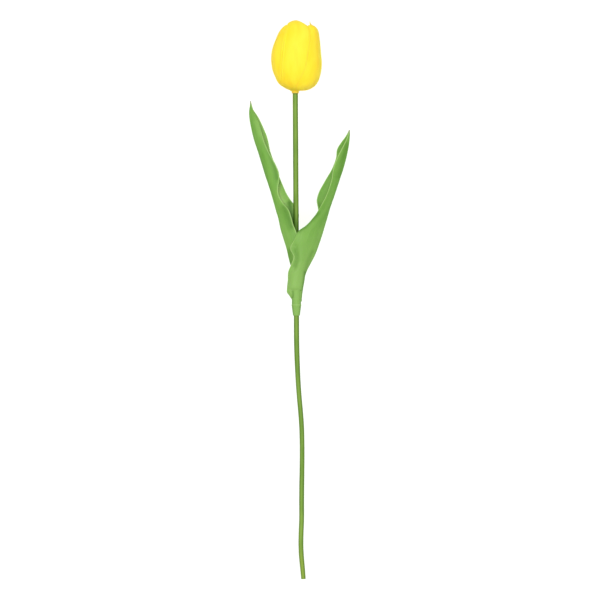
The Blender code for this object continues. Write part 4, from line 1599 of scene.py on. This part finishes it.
    def core(self, finish: bpy.types.Material) -> bpy.types.Object:
        """Turn the core with the neck and the stem's socket.

        Args:
            finish: the petal material.

        Returns:
            The piece.
        """
        base = COURSE.points(self.base_y - self.neck_length)[0]
        axis = self.placement()[:3, 2]
        side = np.array([1.0, 0.0, 0.0])
        up = np.cross(side, axis)
        socket_end = self.neck_length + self.socket_depth
        outline = [(radius, self.neck_length + height) for radius, height in self.core_profile]
        profile = [(0.0, socket_end), (self.socket_radius, socket_end), (self.socket_radius, 0.0)]
        profile += outline + [(0.0, outline[-1][1])]
        around = circle(side, up, self.turned_sides)
        points = [base + axis * profile[0][1]]
        rings = []
        for radius, height in profile[1:-1]:
            rings.append(len(points) + np.arange(self.turned_sides))
            points += list(base + axis * height + radius * around)
        last = len(points)
        points.append(base + axis * profile[-1][1])
        faces = []
        for one, other in zip(rings[:-1], rings[1:]):
            faces += band(one, other)
        first_ring, last_ring = rings[0], rings[-1]
        faces += [(0, int(b), int(a)) for a, b in zip(first_ring, np.roll(first_ring, -1))]
        faces += [(last, int(a), int(b)) for a, b in zip(last_ring, np.roll(last_ring, -1))]
        points = np.array(points)
        zero = np.zeros(len(points))
        end = ease(0.0, -self.neck_length, (points - base) @ axis - self.neck_length)
        marks = {
            "side": zero,
            "height": zero + self.core_height,
            "margin": zero + FAR_FROM_MARGIN,
            "seed": zero + self.core_seed,
            "light": zero,
            "warm": zero + self.core_warmth,
            # A painted shadow darkens the neck's end, where it meets the stem
            "point": self.neck_tone + self.neck_end_shade * end,
        }
        core = make_piece("bloom_core", points, faces, marks)
        core.data.set_sharp_from_angle(angle=math.radians(self.sharp_degrees))
        core.data.materials.append(finish)
        return core

    def build(self) -> list[bpy.types.Object]:
        """Build the core and the petals.

        Returns:
            All the bloom's pieces.
        """
        finish = PetalFinish().material()
        placement = self.placement()
        petals = [
            self.front_petal(),
            self.right_petal(),
            self.left_petal(),
            self.lower_petal(),
            self.inner_petal("petal_inner_right", 120.0),
            self.inner_petal("petal_inner_left", -121.0),
        ]
        pieces = [self.core(finish)] + [petal.build(placement, finish) for petal in petals]
        for piece in pieces:
            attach(piece, "root")
            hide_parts("bloom")
        return pieces


def outer_leaf() -> Leaf:
    """Describe the leaf that goes up to the right, with the sleeve's tube and collar.

    Returns:
        The leaf.
    """
    rails = {
        Rail.NEAR_EDGE: [
            (-1.8, -5.4, 12.7), (-0.4, -6.1, 12.6), (0.8, -6.7, 12.5), (2.5, -7.7, 12.4), (4.2, -9.2, 12.3),
            (5.2, -10.1, 12.3), (6.0, -10.6, 12.3), (9.0, -10.6, 12.4), (16.6, -9.9, 13.6),
            (23.4, -9.6, 15.2), (29.5, -7.3, 17.0), (36.1, -5.2, 18.2), (43.4, -8.0, 17.9),
            (51.0, -4.3, 19.3), (55.5, -2.6, 19.3), (58.6, -0.4, 19.1), (61.9, 4.4, 18.5),
            (65.3, 8.1, 17.9), (68.7, 10.9, 17.3), (72.1, 13.7, 16.6), (76.1, 16.1, 15.8),
            (85.4, 21.2, 14.0), (91.7, 24.0, 13.0), (96.0, 25.5, 12.5), (103.0, 27.4, 12.0),
            (110.9, 28.5, 11.6), (121.1, 32.1, 11.0), (130.5, 36.9, 10.0), (139.0, 40.9, 8.9),
            (144.4, 42.2, 8.2),
        ],
        Rail.NEAR_SHOULDER: [
            (-1.8, -2.7, 15.1), (-0.4, -2.7, 15.2), (3.0, -3.0, 15.4), (7.2, -3.4, 15.6),
            (8.2, -3.5, 15.8), (9.2, -3.6, 16.8), (10.4, -3.6, 17.3), (13.0, -3.4, 17.6),
            (16.6, -3.0, 17.8), (25.0, -0.5, 18.1), (36.1, 3.0, 18.3), (43.4, 4.5, 18.3),
            (51.0, 8.0, 18.2), (58.1, 12.2, 16.6), (66.0, 16.4, 14.8), (80.3, 22.6, 11.9),
            (95.6, 28.4, 9.9), (112.0, 33.4, 9.0), (127.0, 38.2, 8.6), (139.0, 41.4, 8.1),
            (144.4, 42.3, 8.1),
        ],
        Rail.BACK: [
            (-1.8, 1.4, 12.1), (-0.4, 1.45, 12.1), (3.0, 1.7, 12.2), (9.0, 2.5, 12.4), (16.6, 3.8, 12.2),
            (20.0, 4.3, 11.9), (25.1, 6.1, 11.3), (31.5, 9.5, 10.6), (37.0, 12.4, 9.9),
            (43.8, 15.1, 9.4), (52.3, 18.0, 8.8), (62.5, 21.1, 8.0), (69.0, 23.1, 7.4),
            (75.2, 24.8, 7.0), (89.7, 29.7, 6.2), (103.3, 34.2, 5.8), (110.5, 36.6, 5.9),
            (118.6, 38.9, 6.1), (133.9, 41.9, 7.0), (139.0, 42.4, 7.5), (144.4, 42.4, 8.0),
        ],
        Rail.FAR_SHOULDER: [
            (-1.8, -2.7, 9.0), (3.0, -3.0, 8.7), (9.0, -3.6, 8.5), (16.6, -3.0, 8.3), (25.0, -1.0, 8.2),
            (36.1, 1.5, 7.4), (43.4, 3.5, 6.6), (51.0, 6.5, 5.6), (58.1, 11.0, 4.6), (66.0, 17.0, 3.6),
            (80.3, 22.0, 2.4), (95.6, 27.6, 1.6), (112.0, 34.0, 2.2), (127.0, 38.2, 4.1),
            (139.0, 41.4, 6.7), (144.4, 42.2, 7.9),
        ],
        Rail.FAR_EDGE: [
            (-1.8, -5.4, 11.8), (3.0, -6.8, 11.1), (9.0, -8.6, 10.7), (16.6, -8.6, 10.5),
            (25.0, -7.7, 10.0), (43.4, -7.7, 8.6), (51.0, -6.0, 7.8), (58.1, 1.0, 6.2), (66.0, 11.5, 3.6),
            (75.2, 15.9, 2.3), (79.4, 15.4, 1.8), (84.0, 14.6, 1.3), (90.5, 16.0, 0.95),
            (100.7, 21.3, 0.75), (112.6, 28.1, 1.35), (121.1, 31.1, 2.5), (128.8, 32.2, 3.9),
            (133.9, 35.4, 5.1), (139.0, 39.2, 6.6), (144.4, 42.0, 7.9),
        ],
    }
    collar = [
        (2.6, 0.0), (2.9, 0.0), (2.98, 0.1), (3.04, 1.0), (3.5, 4.4), (4.0, 8.0), (4.15, 8.7), (4.15, 9.1),
        (4.05, 9.35), (3.9, 9.6), (3.9, 22.8), (3.85, 23.1), (2.6, 23.1),
    ]
    creases = [
        SoftLine([(-3.4, 45.0), (-2.2, 39.0), (-2.0, 33.0), (-4.4, 26.5)], 1.7, -1.15, Half.NEAR),
        SoftLine([(-8.2, 7.5), (-6.9, 2.0)], 1.0, 0.5, Half.NEAR),
        SoftLine([(9.5, 54.0), (6.5, 38.0), (4.8, 30.0)], 1.3, -0.25, Half.NEAR),
        SoftLine([(3.0, 60.0), (1.0, 46.0), (1.5, 34.0)], 1.6, 0.25, Half.NEAR),
    ]
    # Painted shade where the leaf lies in shadow: beside the curled edge, on the near half towards the tip,
    # in the folds and under the lip at the foot, along the tube's right side and along the near edge
    shades = [
        SoftLine([(-3.6, 42.0), (-2.6, 38.0), (-2.6, 33.0), (-3.8, 28.5)], 2.0, 0.3),
        SoftLine([(39.8, 132.0), (36.6, 118.0), (33.5, 105.0)], 2.4, 0.35, Half.NEAR),
        SoftLine([(16.4, 81.5), (18.0, 78.0)], 2.0, 0.35, Half.FAR),
        SoftLine([(-5.6, 7.0), (-5.2, 3.5), (-5.8, 0.5)], 0.9, 0.5),
        SoftLine([(-3.6, 7.7), (-1.6, 7.2), (0.6, 7.7)], 0.6, 0.6),
        SoftLine([(10.5, 41.0), (7.0, 33.0), (4.6, 24.0)], 1.5, 0.25),
        SoftLine([(4.2, 23.0), (2.6, 11.0), (1.6, -4.0)], 1.2, 0.5),
        SoftLine([(-0.4, 58.0), (4.8, 61.5), (11.2, 68.3), (15.0, 73.0)], 1.7, 0.5, Half.NEAR),
    ]
    pale = [(-14.0, 0.9), (20.0, 0.9), (45.0, 0.45), (80.0, 0.0), (145.0, 0.0)]
    edges = [
        (-2.0, 1.0), (18.0, 1.2), (28.0, 1.8), (45.0, 1.8), (54.0, 0.25), (74.0, 0.25), (86.0, 0.8),
        (108.0, 0.8), (118.0, 1.4), (145.0, 1.4),
    ]
    return Leaf(
        name="leaf_right",
        node="leaf_outer",
        rails=rails,
        collar=collar,
        collar_start_y=-13.6,
        collar_end_y=4.0,
        collar_rim=9.2,
        pale=pale,
        creases=creases,
        shades=shades,
        edge_highlight_widths=edges,
    )


def inner_leaf() -> Leaf:
    """Describe the leaf that goes up to the left, with the ring at its foot.

    Returns:
        The leaf.
    """
    rails = {
        Rail.NEAR_EDGE: [
            (25.0, -0.5, 15.4), (31.0, 0.2, 16.4), (37.8, 1.0, 17.0), (50.6, -0.5, 17.6),
            (58.0, -3.0, 17.8), (63.3, -5.2, 17.6), (70.0, -7.0, 17.0), (76.0, -9.2, 16.0),
            (82.0, -14.0, 14.6), (88.8, -17.6, 13.4), (96.0, -18.0, 12.6), (101.6, -17.2, 12.3),
            (108.0, -17.7, 12.3), (114.3, -20.2, 12.5), (120.5, -23.6, 12.7), (127.0, -27.0, 12.9),
            (139.0, -31.5, 13.0), (149.2, -34.2, 12.4), (159.4, -39.0, 11.0), (164.5, -41.0, 10.0),
            (169.0, -41.5, 9.2),
        ],
        Rail.NEAR_SHOULDER: [
            (25.0, -3.2, 16.3), (31.0, -4.4, 16.6), (37.8, -5.8, 16.6), (50.6, -8.6, 16.4),
            (63.3, -12.6, 15.6), (76.0, -16.2, 13.8), (88.8, -20.4, 12.0), (101.6, -24.4, 11.4),
            (114.3, -28.4, 11.4), (127.0, -32.8, 11.6), (139.0, -36.6, 11.6), (149.2, -38.6, 11.3),
            (159.4, -40.9, 10.2), (169.0, -41.7, 9.1),
        ],
        Rail.BACK: [
            (25.0, -5.8, 13.3), (31.0, -7.8, 13.1), (36.5, -9.2, 12.9), (42.1, -10.4, 12.7),
            (51.4, -13.2, 12.1), (59.9, -15.8, 11.3), (70.1, -18.0, 10.4), (76.0, -19.8, 9.7),
            (82.0, -21.5, 9.1), (93.1, -24.7, 8.0), (105.8, -28.9, 7.3), (116.0, -32.0, 7.2),
            (127.1, -35.5, 7.4), (136.4, -38.5, 7.8), (145.8, -40.8, 8.2), (152.6, -42.1, 8.6),
            (161.1, -42.5, 9.0), (165.0, -41.9, 9.0), (169.0, -41.7, 9.0),
        ],
        Rail.FAR_SHOULDER: [
            (25.0, -3.2, 10.3), (31.0, -4.0, 10.0), (37.8, -5.6, 10.1), (50.6, -8.2, 9.4),
            (63.3, -11.0, 9.6), (76.0, -13.6, 9.4), (88.8, -19.0, 7.4), (101.6, -24.0, 4.0),
            (114.3, -28.2, 2.0), (127.0, -31.8, 2.6), (139.0, -35.2, 3.9), (149.2, -38.2, 5.9),
            (159.4, -40.6, 7.8), (169.0, -41.7, 8.9),
        ],
        Rail.FAR_EDGE: [
            (25.0, -0.5, 11.2), (31.0, 0.4, 10.7), (37.8, 1.2, 10.7), (50.6, 0.3, 10.4), (58.0, -0.9, 9.8),
            (66.0, -1.2, 10.0), (72.0, -0.6, 10.2), (78.0, -2.2, 9.8), (84.0, -7.1, 8.4), (90.0, -11.0, 6.0),
            (95.8, -13.6, 3.2), (101.6, -16.0, 1.1), (107.0, -18.1, 0.7), (114.3, -20.6, 0.7),
            (127.0, -25.1, 1.2), (135.6, -26.9, 2.3), (139.0, -27.8, 2.8), (144.0, -29.8, 3.9),
            (149.2, -32.1, 5.0), (155.5, -35.3, 6.4), (158.5, -37.2, 7.0), (161.1, -39.1, 7.6),
            (165.5, -40.6, 8.3), (169.0, -41.5, 8.8),
        ],
    }
    collar = [(2.6, 0.0), (3.4, 0.0), (3.45, 0.1), (3.45, 7.9), (3.4, 8.0), (2.6, 8.0)]
    # Painted shade under the outer leaf's edge, in the V beside the stem and on the near half; painted
    # light, below nothing, at the tip and on the far half against the channel's shadow
    shades = [
        SoftLine([(-8.4, 41.0), (-7.2, 36.0), (-6.4, 28.0)], 2.4, 0.45),
        SoftLine([(-3.4, 60.0), (-5.6, 67.5), (-6.6, 72.5), (-8.0, 77.5), (-8.6, 82.0)], 2.4, 0.7, Half.FAR),
        SoftLine([(-6.5, 62.0), (-8.0, 66.0), (-10.5, 72.0), (-13.0, 78.0)], 3.0, 0.45, Half.NEAR),
        SoftLine([(-19.1, 103.0), (-21.7, 114.0), (-25.0, 125.0), (-28.5, 133.5)], 2.2, 0.35, Half.NEAR),
        SoftLine([(-37.0, 150.5), (-33.6, 140.3)], 2.6, -0.6, Half.NEAR),
        SoftLine([(-35.3, 153.8), (-31.9, 145.3), (-30.2, 136.0), (-26.0, 126.7)], 2.4, -0.5, Half.FAR),
        SoftLine([(-18.5, 96.0), (-17.6, 88.8), (-14.4, 83.0)], 2.2, -0.9, Half.FAR),
    ]
    pale = [(24.0, 0.6), (60.0, 0.3), (90.0, 0.0), (169.0, 0.0)]
    edges = [(24.0, 1.8), (134.0, 1.8), (146.0, 0.3), (169.0, 0.3)]
    return Leaf(
        name="leaf_left",
        node="leaf_inner",
        rails=rails,
        collar=collar,
        collar_start_y=19.0,
        collar_end_y=27.0,
        pale=pale,
        far_painted_light=0.6,
        shades=shades,
        edge_highlight_widths=edges,
    )


@dataclass
class Studio:
    """The floor, the lights and the camera that looks straight down. Sizes in metres.

    The lamps over the flower light the flower alone, and one more lamp lights the floor alone, so
    that the floor stays evenly white as it does on a light table.
    """

    floor_size: float = 8.0
    floor_drop: float = 0.0001
    camera_place: Place = (0.00034, -0.00043, 1.995)
    lens: float = 140.0
    sensor: float = 36.0
    world_strength: float = 0.40
    key_power: float = 52.0
    key_size: float = 1.1
    key_place: Place = (-0.30, 0.35, 2.6)
    fill_power: float = 18.0
    fill_size: float = 1.8
    fill_place: Place = (0.6, -0.2, 2.5)
    floor_sun: float = 2.7
    floor_lamp_place: Place = (0.0, 0.0, 2.0)

    def floor(self) -> bpy.types.Object:
        """Lay the floor.

        Returns:
            The floor.
        """
        half = self.floor_size / MM / 2
        low = -self.floor_drop / MM
        corners = [(-half, -half, low), (half, -half, low), (half, half, low), (-half, half, low)]
        floor = make_piece("floor", np.array(corners), [(0, 1, 2, 3)], {})
        floor.data.materials.append(FloorFinish().material())
        return floor

    def lamp(
        self, name: str, data: bpy.types.Light, place: Place, lit: list[bpy.types.Object]
    ) -> bpy.types.Object:
        """Hang a lamp that faces the flower and lights only the objects named.

        Args:
            name: the lamp's name.
            data: the lamp's own settings.
            place: where it hangs.
            lit: the objects that it lights.

        Returns:
            The lamp.
        """
        lamp = bpy.data.objects.new(name, data)
        lamp.location = place
        lamp.rotation_euler = (-Vector(place)).to_track_quat("-Z", "Y").to_euler()
        bpy.context.scene.collection.objects.link(lamp)
        group = bpy.data.collections.new(name + "_lit")
        for thing in lit:
            group.objects.link(thing)
        lamp.light_linking.receiver_collection = group
        return lamp

    def soft_lamp(
        self, name: str, place: Place, size: float, power: float, lit: list[bpy.types.Object]
    ) -> None:
        """Hang a square soft lamp.

        Args:
            name: the lamp's name.
            place: where it hangs.
            size: the length of its sides.
            power: how strong it is, in watts.
            lit: the objects that it lights.
        """
        data = bpy.data.lights.new(name, "AREA")
        data.size = size
        data.energy = power
        self.lamp(name, data, place, lit)

    def floor_lamp(self, floor: bpy.types.Object) -> None:
        """Light the floor evenly, with nothing that throws a shadow on it.

        Args:
            floor: the floor.
        """
        data = bpy.data.lights.new("floor_lamp", "SUN")
        data.energy = self.floor_sun
        lamp = self.lamp("floor_lamp", data, self.floor_lamp_place, [floor])
        blockers = bpy.data.collections.new("floor_lamp_blockers")
        blockers.objects.link(floor)
        lamp.light_linking.blocker_collection = blockers

    def world(self) -> None:
        """Light the room evenly and faintly."""
        world = bpy.data.worlds.new("room")
        world.use_nodes = True
        background = world.node_tree.nodes["Background"]
        background.inputs["Color"].default_value = (1.0, 1.0, 1.0, 1.0)
        background.inputs["Strength"].default_value = self.world_strength
        bpy.context.scene.world = world

    def camera(self) -> None:
        """Place the camera over the flower."""
        data = bpy.data.cameras.new("camera")
        data.lens = self.lens
        data.sensor_width = self.sensor
        camera = bpy.data.objects.new("camera", data)
        camera.location = self.camera_place
        bpy.context.scene.collection.objects.link(camera)
        bpy.context.scene.camera = camera

    def build(self, flower: list[bpy.types.Object]) -> None:
        """Set the whole stage.

        Args:
            flower: the flower's pieces, which the lamps light.
        """
        self.camera()
        self.world()
        floor = self.floor()
        self.soft_lamp("key", self.key_place, self.key_size, self.key_power, flower)
        self.soft_lamp("fill", self.fill_place, self.fill_size, self.fill_power, flower)
        self.floor_lamp(floor)
        bpy.context.scene.view_settings.view_transform = "Standard"


def main() -> None:
    """Build the stage and every piece of the flower, and report each piece."""
    logging.basicConfig(level=logging.INFO, format="%(message)s")
    pieces = Stem().build()
    green = LeafFinish().material()
    pieces += [leaf.build(green) for leaf in (outer_leaf(), inner_leaf())]
    pieces += Bloom().build()
    for piece in pieces:
        LOG.info("%s: %d faces", piece.name, len(piece.data.polygons))
    Studio().build(pieces)


if __name__ == "__main__":
    main()
